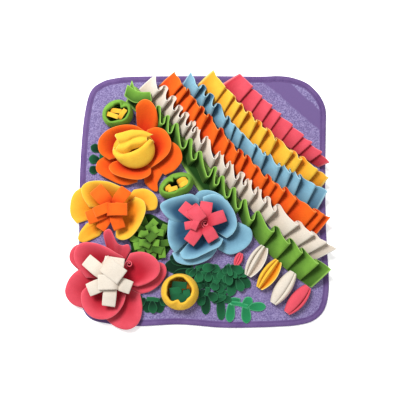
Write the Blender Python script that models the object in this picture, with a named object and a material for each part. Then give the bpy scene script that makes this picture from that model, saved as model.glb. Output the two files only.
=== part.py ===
"""Snuffle mat: a square felt mat for hiding dry treats, modelled in metres, +Z up.

The mat lies flat with its underside on z = 0 and its centre on the origin.
Six pleated felt ruffles cross it from corner to corner, four felt flowers, three
soft cups, a tuft, leaf sprigs and folded petals are sewn on around them.  Every
cloth piece is a closed sheet of its own.  Sizes below are in millimetres.
"""
import math
from dataclasses import dataclass, field

import bpy
import numpy as np

MM = 0.001                      # metres in a millimetre

# ---- driving dimensions (mm) ------------------------------------------------
MAT_EDGE = (                    # the binding's outer edge, anticlockwise, in mm
    (220, 130), (220, 164), (213, 185), (201, 201), (184, 215), (159, 224), (134, 227), (100, 226), (0, 227),
    (-121, 226), (-158, 223), (-183, 216), (-203, 199), (-213, 163), (-219, 110), (-223, 35),
    (-224, -60), (-223, -150), (-218, -188), (-204, -209), (-174, -218), (-117, -223), (-42, -220),
    (40, -226), (134, -224), (176, -220), (201, -211), (218, -192), (225, -162), (225, -125),
    (221, -62), (219, 30))
MAT_THICK = 4.2                 # fleece base
BINDING_WIDE = 12.0             # binding strip seen from above
BINDING_THICK = 1.2
BINDING_TOP = 4.2
GAP = 0.3                       # air left between two sewn pieces
FELT = 2.0                      # flower, leaf and cup felt
RUFFLE_FELT = 1.5               # thinner felt of the ruffles
SEAT = 4.5                      # height at which sewn-on pieces start
RUFFLE_RISE = 20.0              # free edge above the sewn edge

LAVENDER = (0.223, 0.205, 0.456)
PURPLE = (0.127, 0.071, 0.262)
CORAL = (0.753, 0.080, 0.114)
YELLOW = (0.956, 0.515, 0.032)
BLUE = (0.242, 0.479, 0.645)
ORANGE = (0.956, 0.141, 0.013)
CREAM = (0.753, 0.679, 0.604)
LEAF_GREEN = (0.156, 0.381, 0.045)
DARK_GREEN = (0.017, 0.156, 0.053)
BRIGHT_GREEN = (0.026, 0.301, 0.114)


# ---- scene helpers ----------------------------------------------------------
def clear_scene() -> None:
    """Remove every object the file starts with."""
    for item in list(bpy.data.objects):
        bpy.data.objects.remove(item, do_unlink=True)


def felt_material(name: str, colour: tuple) -> bpy.types.Material:
    """Return a matt felt material of one colour, made once per name."""
    known = bpy.data.materials.get(name)
    if known:
        return known
    made = bpy.data.materials.new(name)
    made.use_nodes = True
    shader = made.node_tree.nodes["Principled BSDF"]
    shader.inputs["Base Color"].default_value = (*colour, 1.0)
    shader.inputs["Roughness"].default_value = 0.95
    shader.inputs["Metallic"].default_value = 0.0
    made.diffuse_color = (*colour, 1.0)
    return made


def add_object(name: str, verts, faces, colour: tuple) -> bpy.types.Object:
    """Make one mesh object from millimetre points and faces."""
    mesh = bpy.data.meshes.new(name)
    mesh.from_pydata([tuple(float(c) * MM for c in v) for v in verts], [],
                     [tuple(int(i) for i in f) for f in faces])
    mesh.validate()
    mesh.update()
    item = bpy.data.objects.new(name, mesh)
    bpy.context.scene.collection.objects.link(item)
    mesh.materials.append(felt_material(f"felt_{name.split('.')[0]}", colour))
    mesh.shade_smooth()
    mesh.set_sharp_from_angle(angle=math.radians(40))
    return item


def fuse(name: str, parts: list, colour: tuple) -> bpy.types.Object:
    """Join closed (verts, faces) shells into one body with a Boolean union."""
    body = add_object(name, *parts[0], colour)
    if len(parts) == 1:
        return body
    group = bpy.data.collections.new(f"{name}_parts")
    bpy.context.scene.collection.children.link(group)
    cutters = []
    for number, (verts, faces) in enumerate(parts[1:]):
        cutter = add_object(f"{name}.{number}", verts, faces, colour)
        bpy.context.scene.collection.objects.unlink(cutter)
        group.objects.link(cutter)
        cutters.append(cutter)
    union = body.modifiers.new("union", "BOOLEAN")
    union.operation = "UNION"
    union.solver = "EXACT"
    union.operand_type = "COLLECTION"
    union.collection = group
    bpy.context.view_layer.update()
    graph = bpy.context.evaluated_depsgraph_get()
    joined = bpy.data.meshes.new_from_object(body.evaluated_get(graph))
    body.modifiers.clear()
    body.data = joined
    joined.name = name
    for cutter in cutters:
        bpy.data.objects.remove(cutter, do_unlink=True)
    bpy.data.collections.remove(group)
    return body


# ---- sheet and lathe shells -------------------------------------------------
def grid_normals(grid: np.ndarray) -> np.ndarray:
    """Unit normals of a (rows, columns, 3) grid of points."""
    along = np.gradient(grid, axis=0)
    across = np.gradient(grid, axis=1)
    normal = np.cross(across, along)
    size = np.linalg.norm(normal, axis=2, keepdims=True)
    return normal / np.maximum(size, 1e-9)


def close_shell(top: np.ndarray, bottom: np.ndarray):
    """Join two matching grids into one closed shell, top facing its normals."""
    rows, cols, _ = top.shape
    verts = np.vstack([top.reshape(-1, 3), bottom.reshape(-1, 3)])
    low = rows * cols
    faces = []
    for r in range(rows - 1):
        for c in range(cols - 1):
            a, b = r * cols + c, r * cols + c + 1
            d, e = a + cols, b + cols
            faces.append((a, b, e, d))
            faces.append((low + a, low + d, low + e, low + b))
    rim = [c for c in range(cols)]
    rim += [r * cols + cols - 1 for r in range(1, rows)]
    rim += [(rows - 1) * cols + c for c in range(cols - 2, -1, -1)]
    rim += [r * cols for r in range(rows - 2, 0, -1)]
    for here, then in zip(rim, rim[1:] + rim[:1]):
        faces.append((then, here, low + here, low + then))
    return verts, faces


def sheet(grid: np.ndarray, thick: float = FELT):
    """Give a grid of mid-surface points a thickness, as a closed shell."""
    offset = grid_normals(grid) * thick / 2
    return close_shell(grid + offset, grid - offset)


def lathe(loops: list):
    """Join closed loops, listed from the bottom's centre outwards, up and round
    to the inner bottom, into one closed shell with a fan at each end."""
    count = len(loops[0])
    verts = [np.mean(loops[0], axis=0)]
    for loop in loops:
        verts.extend(loop)
    verts.append(np.mean(loops[-1], axis=0))
    faces = []
    for i in range(count):
        j = (i + 1) % count
        faces.append((0, 1 + j, 1 + i))
        for k in range(len(loops) - 1):
            a, b = 1 + k * count + i, 1 + k * count + j
            faces.append((a, b, b + count, a + count))
        tail = 1 + (len(loops) - 1) * count
        faces.append((len(verts) - 1, tail + i, tail + j))
    return np.array(verts), faces


def disc(centre: tuple, radius: float, low: float, high: float, sides: int = 12):
    """A flat round plate."""
    turn = np.linspace(0, 2 * math.pi, sides, endpoint=False)
    ring = np.stack([centre[0] + radius * np.cos(turn),
                     centre[1] + radius * np.sin(turn)], axis=1)
    return lathe([np.column_stack([ring, np.full(sides, z)]) for z in (low, high)])


# ---- mat and binding --------------------------------------------------------
def mat_outline(inset: float, height: float) -> np.ndarray:
    """The mat's outline, `inset` mm inside its edge."""
    edge = np.array(MAT_EDGE, dtype=float)
    ahead = np.roll(edge, -1, axis=0) - np.roll(edge, 1, axis=0)
    ahead /= np.linalg.norm(ahead, axis=1, keepdims=True)
    inner = edge + np.column_stack([-ahead[:, 1], ahead[:, 0]]) * inset
    return np.column_stack([inner, np.full(len(edge), height)])


def build_mat() -> None:
    """The fleece base and the binding strip folded round its edge."""
    low, high = BINDING_THICK + GAP, BINDING_TOP - BINDING_THICK - GAP
    inner = BINDING_WIDE + 1.0
    loops = [mat_outline(i, z) for i, z in (
        (inner + 4, 0.0), (inner, low), (BINDING_THICK + GAP, low),
        (BINDING_THICK + GAP, high), (inner, high), (inner + 4, MAT_THICK))]
    add_object("mat_base", *lathe(loops), LAVENDER)

    top, wide, thick = BINDING_TOP, BINDING_WIDE, BINDING_THICK
    section = ((wide, 0), (1.2, 0), (0, 1.2), (0, top - 1.2), (1.2, top), (wide, top),
               (wide, top - thick), (thick, top - thick), (thick, thick), (wide, thick))
    rings = [mat_outline(i, z) for i, z in section]
    count = len(rings[0])
    verts = np.vstack(rings)
    faces = []
    for k in range(len(rings)):
        for i in range(count):
            j = (i + 1) % count
            a, b = k * count + i, k * count + j
            n = (k + 1) % len(rings)
            faces.append((a, b, n * count + j, n * count + i))
    add_object("mat_binding", verts, faces, PURPLE)


# ---- pleated ruffles --------------------------------------------------------
@dataclass(frozen=True)
class Ruffle:
    """One pleated strip, sewn along `base`, its free edge along `free`.

    Both edges are cubic curves through four control points.  `pitches` are the
    distances between one outer fold and the next, `back` how far each fold runs
    back under the last (below zero: an open wave), `loop` the fold's radius at
    the free edge and `swing` half the pleats' depth there.
    """
    name: str
    colour: tuple
    base: tuple
    free: tuple
    pitches: tuple
    back: float = 0.38
    loop: float = 1.9
    swing: float = 3.6
    rise: float = RUFFLE_RISE
    levels: tuple = (0.0, 1.0)


RUFFLES = (
    Ruffle("ruffle_coral", CORAL,
           ((36, 212), (91, 141), (147, 101), (208, 62)),
           ((64, 224), (101, 172), (165, 124), (222, 66)),
           (38, 26, 24, 20, 27, 24, 18, 24)),
    Ruffle("ruffle_yellow", YELLOW,
           ((-8, 212), (56, 131), (115, 54), (210, 25)),
           ((16, 229), (63, 158), (138, 95), (220, 40)),
           (44, 24, 19, 20, 27, 23, 26, 33, 24, 32)),
    Ruffle("ruffle_blue", BLUE,
           ((-40, 206), (35, 133), (105, 30), (205, -11)),
           ((-24, 226), (40, 139), (107, 65), (218, 16)),
           (28, 20, 20, 26, 20, 17, 28, 21, 29, 20, 19, 25)),
    Ruffle("ruffle_orange", ORANGE,
           ((-77, 210), (-1, 93), (98, 15), (200, -60)),
           ((-52, 226), (11, 136), (99, 30), (223, -30)),
           (29, 15, 20, 22, 20, 33, 26, 24, 18, 24, 25, 19, 20, 25, 41, 15)),
    Ruffle("ruffle_cream", CREAM,
           ((-116, 202), (-4, 94), (79, -33), (204, -102)),
           ((-84, 222), (-11, 107), (98, 2), (234, -86)),
           (28, 26, 20, 16, 21, 14, 25, 35, 26, 27, 18, 23, 23, 22, 43, 32, 25),
           back=-0.30, loop=2.6, swing=4.2, rise=22.0),
    Ruffle("ruffle_green", LEAF_GREEN,
           ((-140, 188), (-30, 96), (66, -66), (197, -150)),
           ((-127, 214), (-2, 95), (70, -29), (224, -122)),
           (36, 31, 22, 21, 38, 26, 41, 21, 30, 28, 33, 40, 34, 28, 32),
           back=-0.24, loop=2.8, swing=5.2, rise=22.0, levels=(0.0, 0.5, 1.0)),
)


def bezier(points: tuple, at: np.ndarray) -> np.ndarray:
    """Points on a cubic curve in the plane."""
    p = np.array(points, dtype=float)
    t = np.asarray(at)[:, None]
    return ((1 - t) ** 3 * p[0] + 3 * t * (1 - t) ** 2 * p[1]
            + 3 * t * t * (1 - t) * p[2] + t ** 3 * p[3])


def pleat_path(circles: list, arc_points: int) -> np.ndarray:
    """Follow a taut strip round a row of fold circles.

    Each circle is (x, m, radius, turn) with turn +1 anticlockwise, -1 clockwise.
    Returns rows of (x, m, normal x, normal m), the normal to the left of travel.
    """
    headings = []
    for (ax, am, ar, at), (bx, bm, br, bt) in zip(circles, circles[1:]):
        gap = math.hypot(bx - ax, bm - am)
        lean = math.asin(max(-0.999, min(0.999, (bt * br - at * ar) / gap)))
        headings.append(math.atan2(bm - am, bx - ax) - lean)
    rows = []
    for k, (cx, cm, radius, turn) in enumerate(circles):
        if radius == 0:
            angles = [headings[0] if k == 0 else headings[-1]]
        else:
            first, last = headings[k - 1], headings[k]
            sweep = (last - first) * turn % (2 * math.pi)
            angles = [first + turn * sweep * s / (arc_points - 1)
                      for s in range(arc_points)]
        for a in angles:
            nx, nm = -math.sin(a), math.cos(a)
            rows.append((cx - turn * radius * nx, cm - turn * radius * nm, nx, nm))
    return np.array(rows)


def ruffle_shell(row: Ruffle, arc_points: int = 3):
    """The closed shell of one pleated strip."""
    fine = np.linspace(0, 1, 201)
    centre_line = (bezier(row.base, fine) + bezier(row.free, fine)) / 2
    run = np.concatenate([[0], np.cumsum(np.linalg.norm(np.diff(centre_line, axis=0), axis=1))])
    folds = np.cumsum(row.pitches) * run[-1] / (sum(row.pitches) + row.pitches[-1] * 0.9)
    half = RUFFLE_FELT / 2
    tight_loop, tight_swing = half + 0.25, 2.15
    sewn_mid = SEAT + tight_swing + tight_loop + half
    top, bottom = [], []
    for level in row.levels:
        loop = tight_loop + (row.loop - tight_loop) * level
        swing = tight_swing + (row.swing - tight_swing) * level
        circles = [(0.0, -swing, 0.0, 1)]
        for i, x in enumerate(folds):
            pitch = row.pitches[min(i + 1, len(row.pitches) - 1)]
            back = row.back * (min(pitch, 26) if row.back > 0 else pitch)
            back = min(back, 9.5)
            circles.append((x, swing, loop, -1))
            circles.append((x - back, -swing, loop, 1))
        circles.append((run[-1], 0.0, 0.0, 1))
        path = pleat_path(circles, arc_points)
        for side, keep in ((half, top), (-half, bottom)):
            x = path[:, 0] + side * path[:, 2]
            m = path[:, 1] + side * path[:, 3]
            u = np.interp(np.clip(x, 0, run[-1]), run, fine)
            over = (x - np.clip(x, 0, run[-1]))[:, None]
            low, high = bezier(row.base, u), bezier(row.free, u)
            ahead = (bezier(row.base, np.minimum(u + 0.01, 1)) * (1 - level)
                     + bezier(row.free, np.minimum(u + 0.01, 1)) * level
                     - bezier(row.base, np.maximum(u - 0.01, 0)) * (1 - level)
                     - bezier(row.free, np.maximum(u - 0.01, 0)) * level)
            along = ahead / np.linalg.norm(ahead, axis=1, keepdims=True)
            plan = low + (high - low) * level + along * over
            away = np.column_stack([along[:, 1], -along[:, 0]])
            reach = np.abs(np.sum((high - low) * np.column_stack([-along[:, 1], along[:, 0]]), axis=1))
            lean = np.arctan2(row.rise, np.maximum(reach, 4.0)) * min(1.0, level * 1.5)
            flat = plan + away * (m * np.sin(lean))[:, None]
            keep.append(np.column_stack([flat, sewn_mid + row.rise * level + m * np.cos(lean)]))
    top, bottom = np.array(top), np.array(bottom)
    return close_shell(top, bottom)


def build_ruffles() -> None:
    """All six pleated strips."""
    for row in RUFFLES:
        add_object(row.name, *ruffle_shell(row), row.colour)


# ---- petals, tabs and flowers -----------------------------------------------
@dataclass(frozen=True)
class Petal:
    """A petal given by its rim, from one side round its tip to the other.

    Each rim point is (azimuth in degrees, reach, height over the mat) from the
    flower's centre.  `hollow` holds the petal's middle low, `root` is how far
    from the centre it is sewn down.
    """
    rim: tuple
    hollow: float = 1.7
    root: float = 8.0


@dataclass(frozen=True)
class Tab:
    """A flat strip from a flower's centre out to (x, y), `top` mm above its root."""
    x: float
    y: float
    width: float
    top: float = 24.0
    droop: float = 0.88


@dataclass(frozen=True)
class Flower:
    """Two layers of petals round a centre of tabs."""
    name: str
    centre: tuple
    colour: tuple
    outer: tuple
    inner: tuple
    tab_colour: tuple = CREAM
    tabs: tuple = field(default=())


def smooth_line(points, count: int) -> np.ndarray:
    """A smooth line through a few points, evenly sampled."""
    p = np.array(points, dtype=float)
    p = np.vstack([2 * p[0] - p[1], p, 2 * p[-1] - p[-2]])
    fine = []
    for a, b, c, d in zip(p, p[1:], p[2:], p[3:]):
        for t in np.linspace(0, 1, 12, endpoint=False):
            fine.append(0.5 * (2 * b + (c - a) * t + (2 * a - 5 * b + 4 * c - d) * t * t
                               + (3 * b - a - 3 * c + d) * t ** 3))
    fine = np.array(fine + [p[-2]])
    run = np.concatenate([[0], np.cumsum(np.linalg.norm(np.diff(fine, axis=0), axis=1))])
    at = np.linspace(0, run[-1], count)
    return np.column_stack([np.interp(at, run, fine[:, k]) for k in range(fine.shape[1])])


def petal_grid(petal: Petal, centre: tuple, height: float):
    """Mid-surface points of one petal growing from a flower's centre."""
    turn = np.radians([a for a, _, _ in petal.rim])
    reach = np.array([r for _, r, _ in petal.rim])
    rim = smooth_line(np.column_stack([reach * np.cos(turn), reach * np.sin(turn),
                                       [z for _, _, z in petal.rim]]), len(petal.rim) + 1)
    across = len(rim)
    sweep = np.radians(np.linspace(petal.rim[0][0], petal.rim[-1][0], across))
    sweep = sweep.mean() + (sweep - sweep.mean()) * 0.7
    foot = np.column_stack([petal.root * np.cos(sweep), petal.root * np.sin(sweep)])
    rows = []
    for v in (0.0, 0.4, 0.72, 1.0):
        rise = 1 - (1 - v ** petal.hollow) ** 1.5
        plan = foot + (rim[:, :2] - foot) * v + centre
        rows.append(np.column_stack([plan, height + (rim[:, 2] - height) * rise]))
    return np.array(rows)


def tab_grid(tab: Tab, centre: tuple, height: float):
    """Mid-surface points of one strip that arches up and out."""
    reach = math.hypot(tab.x, tab.y)
    ux, uy = tab.x / reach, tab.y / reach
    rows = []
    for share, lift, wide in ((0.03, 0.0, 0.5), (0.18, 0.8, 0.8), (0.52, 1.0, 1.0), (1.0, tab.droop, 1.0)):
        half = tab.width * wide / 2
        x, y = centre[0] + tab.x * share, centre[1] + tab.y * share
        z = height + tab.top * lift
        rows.append([(x + uy * s * half, y - ux * s * half, z) for s in (-1, 1)])
    return np.array(rows)


FLOWERS = (
    Flower("flower_orange", (-119, 89), ORANGE,
           outer=(Petal(((49, 58, 16), (55, 67, 27), (63, 79, 36), (73, 87, 37), (82, 86, 35), (89, 76, 28), (88, 62, 19)), 2.2, 9.5),
                  Petal(((-40, 66, 12), (-26, 77, 18), (-12, 83, 22), (0, 79, 22), (10, 70, 20), (20, 58, 14))),
                  Petal(((-76, 58, 9), (-68, 74, 10), (-62, 80, 11), (-57, 68, 12), (-46, 62, 12), (-34, 60, 10)), 1.7, 9.0),
                  Petal(((188, 58, 9), (196, 73, 14), (208, 79, 15), (228, 69, 13), (250, 64, 12), (272, 54, 9)))),
           inner=(Petal(((68, 38, 20), (88, 42, 25), (108, 46, 28), (128, 52, 29), (148, 61, 29), (166, 67, 29),
                         (184, 64, 26), (200, 50, 20)), 1.6),
                  Petal(((-52, 40, 18), (-24, 48, 23), (-5, 59, 27), (12, 64, 29), (32, 62, 27), (48, 54, 23),
                         (62, 42, 18)), 1.6),
                  Petal(((206, 46, 18), (212, 57, 22), (228, 58, 26), (252, 53, 27), (278, 53, 26), (300, 50, 22),
                         (310, 40, 17)), 1.6))),
    Flower("flower_yellow", (-158, -16), YELLOW,
           outer=(Petal(((144, 72, 9), (156, 79, 12), (170, 80, 13), (186, 79, 12), (199, 72, 9))),
                  Petal(((0, 58, 10), (2, 74, 16), (14, 79, 19), (26, 74, 18), (36, 65, 16), (48, 50, 11))),
                  Petal(((204, 56, 7), (211, 72, 9), (218, 84, 9), (226, 78, 8), (238, 52, 6)))),
           inner=(Petal(((60, 42, 20), (84, 44, 25), (102, 50, 28), (120, 58, 29), (134, 66, 29), (146, 68, 28),
                         (158, 58, 25), (174, 44, 19)), 1.3),
                  Petal(((272, 48, 14), (284, 55, 19), (300, 57, 23), (320, 55, 26), (342, 55, 28), (360, 57, 28),
                         (376, 55, 26), (392, 44, 20)), 1.2)),
           tab_colour=ORANGE,
           tabs=(Tab(-31, 36, 26, 24, 0.95), Tab(-46, -16, 24, 20, 0.95), Tab(24, 35, 22, 24, 0.95),
                 Tab(-24, -35, 18, 14, 0.9), Tab(12, -35, 22, 22), Tab(17, 0, 22, 28, 0.97))),
    Flower("flower_coral", (-160, -141), CORAL,
           outer=(Petal(((126, 84, 9), (138, 93, 12), (148, 92, 13), (156, 84, 12), (163, 66, 8))),
                  Petal(((157, 58, 8), (167, 70, 12), (180, 81, 13), (194, 89, 13), (208, 86, 12), (222, 74, 8))),
                  Petal(((258, 70, 8), (272, 82, 12), (286, 91, 13), (300, 88, 13), (315, 72, 12), (334, 52, 8))),
                  Petal(((-27, 52, 8), (-16, 68, 11), (-4, 83, 12), (8, 95, 13), (18, 95, 13), (26, 80, 9))),
                  Petal(((60, 61, 14), (67, 70, 18), (75, 65, 17), (84, 68, 24), (92, 90, 29), (100, 86, 27),
                         (101, 66, 18)), 2.5, 11.0)),
           inner=(Petal(((66, 46, 19), (84, 50, 25), (100, 60, 28), (116, 74, 29), (130, 86, 29), (143, 84, 27),
                         (154, 72, 25), (174, 48, 17)), 1.4),
                  Petal(((192, 46, 18), (202, 60, 22), (222, 70, 24), (240, 74, 25), (258, 70, 25), (274, 61, 24),
                         (292, 47, 21), (312, 34, 17)), 1.4),
                  Petal(((-14, 44, 18), (-4, 62, 23), (6, 80, 26), (18, 88, 27), (32, 83, 27), (45, 72, 25),
                         (58, 57, 21)), 1.4)),
           tab_colour=CREAM,
           tabs=(Tab(-45, 37, 24, 26, 0.95), Tab(34, -13, 24, 22, 0.98), Tab(-6, -45, 24, 22, 0.98),
                 Tab(-42, -17, 24, 22, 0.98), Tab(6, 41, 36, 26, 0.97))),
    Flower("flower_blue", (0, -41), BLUE,
           outer=(Petal(((222, 76, 9), (234, 82, 12), (248, 78, 13), (264, 70, 14), (282, 61, 13), (300, 50, 9))),
                  Petal(((14, 53, 15), (28, 57, 19), (44, 59, 21), (62, 60, 21), (80, 61, 18), (96, 60, 14),
                         (107, 54, 10)), 2.0),
                  Petal(((301, 52, 9), (312, 72, 12), (328, 84, 15), (342, 90, 18), (354, 84, 20), (364, 62, 14)))),
           inner=(Petal(((100, 45, 18), (112, 57, 23), (128, 63, 26), (144, 74, 28), (157, 83, 29), (167, 70, 27),
                         (176, 54, 20)), 1.4),
                  Petal(((172, 62, 22), (184, 63, 26), (200, 67, 28), (214, 71, 27), (226, 72, 21)), 1.4),
                  Petal(((230, 66, 16), (240, 71, 21), (254, 64, 25), (270, 54, 26), (288, 49, 27), (306, 49, 27),
                         (323, 44, 22)), 1.4),
                  Petal(((328, 48, 20), (342, 55, 25), (358, 59, 28), (378, 58, 29), (396, 57, 29), (414, 57, 28),
                         (432, 55, 26), (452, 48, 20)), 1.4)),
           tab_colour=CORAL,
           tabs=(Tab(-38, 31, 22, 24, 0.93), Tab(6, 38, 22, 24), Tab(38, 14, 22, 24),
                 Tab(18, -30, 22, 22, 0.95), Tab(-26, -34, 22, 22, 0.92), Tab(-33, -5, 14, 25, 0.95),
                 Tab(-24, 26, 22, 29, 0.95))),
)


def build_flowers() -> None:
    """Petal layers and their centres."""
    for flower in FLOWERS:
        low = SEAT + FELT / 2
        step = FELT + GAP + 0.8
        layers = (("outer", flower.outer, low, 17.0), ("inner", flower.inner, low + step, 12.5))
        for tag, petals, height, radius in layers:
            parts = [disc(flower.centre, radius, height - FELT / 2, height + FELT / 2 + 0.5)]
            parts += [sheet(petal_grid(p, flower.centre, height + 0.11 * n)) for n, p in enumerate(petals)]
            fuse(f"{flower.name}_{tag}", parts, flower.colour)
        if flower.tabs:
            height = low + 2 * step
            parts = [disc(flower.centre, 7.0, height - FELT / 2, height + FELT / 2, 10)]
            parts += [sheet(tab_grid(t, flower.centre, height + 0.06 * n)) for n, t in enumerate(flower.tabs)]
            fuse(f"{flower.name}_tabs", parts, flower.tab_colour)


# ---- soft cups and the bud --------------------------------------------------
@dataclass(frozen=True)
class Cup:
    """A soft felt cup: an oval bowl with one dart folded in at its rim."""
    name: str
    centre: tuple
    colour: tuple
    long: float
    short: float
    azimuth: float
    dart: float
    mouth: tuple
    shift: tuple = (0.0, 0.0)
    height: float = 34.0
    tabs: tuple = field(default=())
    tab_colour: tuple = YELLOW


CUPS = (
    Cup("cup_green_top", (-152, 154), LEAF_GREEN, 28, 25, 20, 53, (23, 17), (1, -2),
        tabs=((-12, 4, 9, 1), (-20, -2, 3, -9), (5, -12, 16, 5))),
    Cup("cup_green_mid", (-48, 27), LEAF_GREEN, 33, 22, 25, 135, (27, 13), (0, 0),
        tabs=((-20, -9, -9, -2), (-16, -11, 3, -5), (3, 5, 18, 12), (7, -3, 22, 6))),
    Cup("cup_yellow", (-42, -161), YELLOW, 34, 33, 0, -97, (25, 25), (-1, 4),
        tabs=((-13, 13, 11, 9), (-16, -2, 6, 0), (9, -1, 13, -13), (4, -4, 8, -16)),
        tab_colour=DARK_GREEN),
)


def oval(centre: tuple, long: float, short: float, azimuth: float, height: float,
         dart: float = 0.0, depth: float = 0.0, sides: int = 18) -> np.ndarray:
    """An oval loop, pushed in by `depth` at the azimuth `dart`."""
    turn = np.linspace(0, 2 * math.pi, sides, endpoint=False) + math.radians(dart)
    tilt = math.radians(azimuth)
    away = (turn - math.radians(dart) + math.pi) % (2 * math.pi) - math.pi
    radius = long * short / np.hypot(short * np.cos(turn - tilt), long * np.sin(turn - tilt))
    radius = radius - depth * np.exp(-(away / 0.26) ** 2)
    return np.column_stack([centre[0] + radius * np.cos(turn),
                            centre[1] + radius * np.sin(turn), np.full(sides, height)])


def cup_shell(cup: Cup):
    """Bowl, rim and inside of one cup."""
    cx, cy = cup.centre
    mouth = (cx + cup.shift[0], cy + cup.shift[1])
    wall = FELT + 0.3

    def loop(share, height, inward, dart):
        long = cup.long + (cup.mouth[0] - cup.long) * share - inward
        short = cup.short + (cup.mouth[1] - cup.short) * share - inward
        spot = (cx + (mouth[0] - cx) * share, cy + (mouth[1] - cy) * share)
        return oval(spot, long, short, cup.azimuth, height, cup.dart, dart)

    top = cup.height
    return lathe([loop(0, SEAT, 6, 0), loop(0, SEAT + 11, 0, 0), loop(0.35, top - 8, 0, 3),
                  loop(1.0, top, 0, 6), loop(1.0, top - 0.6, wall, 6), loop(0.35, top - 9, wall, 3),
                  loop(0, SEAT + 11.5, wall, 0), loop(0, SEAT + FELT, 6 + wall, 0)])


def strip_grid(start: tuple, end: tuple, width: float, low: float, high: float):
    """A short strip that stands on `low` and lies over at `high`."""
    dx, dy = end[0] - start[0], end[1] - start[1]
    reach = math.hypot(dx, dy)
    ux, uy = dx / reach, dy / reach
    rows = []
    for share, lift in ((0.0, 0.0), (0.12, 0.8), (0.45, 1.0), (1.0, 0.92)):
        x, y, z = start[0] + dx * share, start[1] + dy * share, low + (high - low) * lift
        rows.append([(x + uy * s * width / 2, y - ux * s * width / 2, z) for s in (-1, 1)])
    return np.array(rows)


def build_cups() -> None:
    """The three cups, each with its bundle of strips inside."""
    for cup in CUPS:
        add_object(cup.name, *cup_shell(cup), cup.colour)
        cx, cy = cup.centre
        floor = SEAT + FELT + GAP
        mid = np.mean([[(t[0] + t[2]) / 2, (t[1] + t[3]) / 2] for t in cup.tabs], axis=0)
        parts = [disc((cx + mid[0], cy + mid[1]), 11.0, floor, floor + FELT, 12)]
        for n, (ax, ay, bx, by) in enumerate(cup.tabs):
            start = (cx + mid[0] + (ax - mid[0]) * 0.5, cy + mid[1] + (ay - mid[1]) * 0.5)
            parts.append(sheet(strip_grid(start, (cx + bx, cy + by), 7.5, floor + FELT / 2,
                                          SEAT + 15 + 1.4 * n)))
        fuse(f"{cup.name}_strips", parts, cup.tab_colour)


def build_bud() -> None:
    """The yellow bud of the orange flower: a pouch folded shut to a slot."""
    cx, cy = -121.0, 89.0
    low = SEAT + 2 * (FELT + GAP) + 3.0
    slot = ((cx + 1, cy - 3), 15.0, 3.4, 20.0)
    spec = (((cx, cy), 12, 11, 0, low), ((cx, cy), 30, 27, 10, low + 9), ((cx, cy), 36, 33, 10, low + 17),
            ((cx, cy), 32, 29, 10, low + 27), ((cx, cy), 26, 22, 12, low + 30))
    outer = [oval(c, a, b, t, z) for c, a, b, t, z in spec]
    outer.append(oval(slot[0], slot[1], slot[2], slot[3], low + 26))
    under = [oval(slot[0], slot[1], slot[2], slot[3], low + 23.6),
             oval((cx, cy), 25, 21, 12, low + 27.4), oval((cx, cy), 29.6, 26.6, 10, low + 25),
             oval((cx, cy), 33.6, 30.6, 10, low + 17), oval((cx, cy), 27.6, 24.6, 10, low + 10.2),
             oval((cx, cy), 9, 8, 0, low + 2.2)]
    add_object("flower_orange_bud", *lathe(outer + under), YELLOW)


# ---- tuft, leaves and folded petals -----------------------------------------
TUFT_CENTRE = (-95.0, -65.0)
TUFT_STRIPS = (  # x, y of the end, width, height of the end
    (-10, 27, 11, 9), (5, 29, 11, 12), (-21, -12, 11, 11), (-29, 4, 11, 8), (14, -15, 15, 16),
    (4, -31, 11, 10), (26, -25, 10, 9), (20, 12, 11, 13), (30, -4, 11, 10), (-12, 11, 11, 14),
    (-13, -29, 10, 8), (20, 27, 10, 9), (-26, 18, 10, 9), (9, 6, 11, 17), (-24, -26, 9, 7), (17, -33, 10, 8),
    (-4, 4, 10, 18))


@dataclass(frozen=True)
class Leaf:
    """A flat rounded leaf from (x, y), `height` above the mat."""
    x: float
    y: float
    azimuth: float
    length: float
    width: float
    height: float = 0.0
    rise: float = 0.0
    root: float = 0.24


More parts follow.
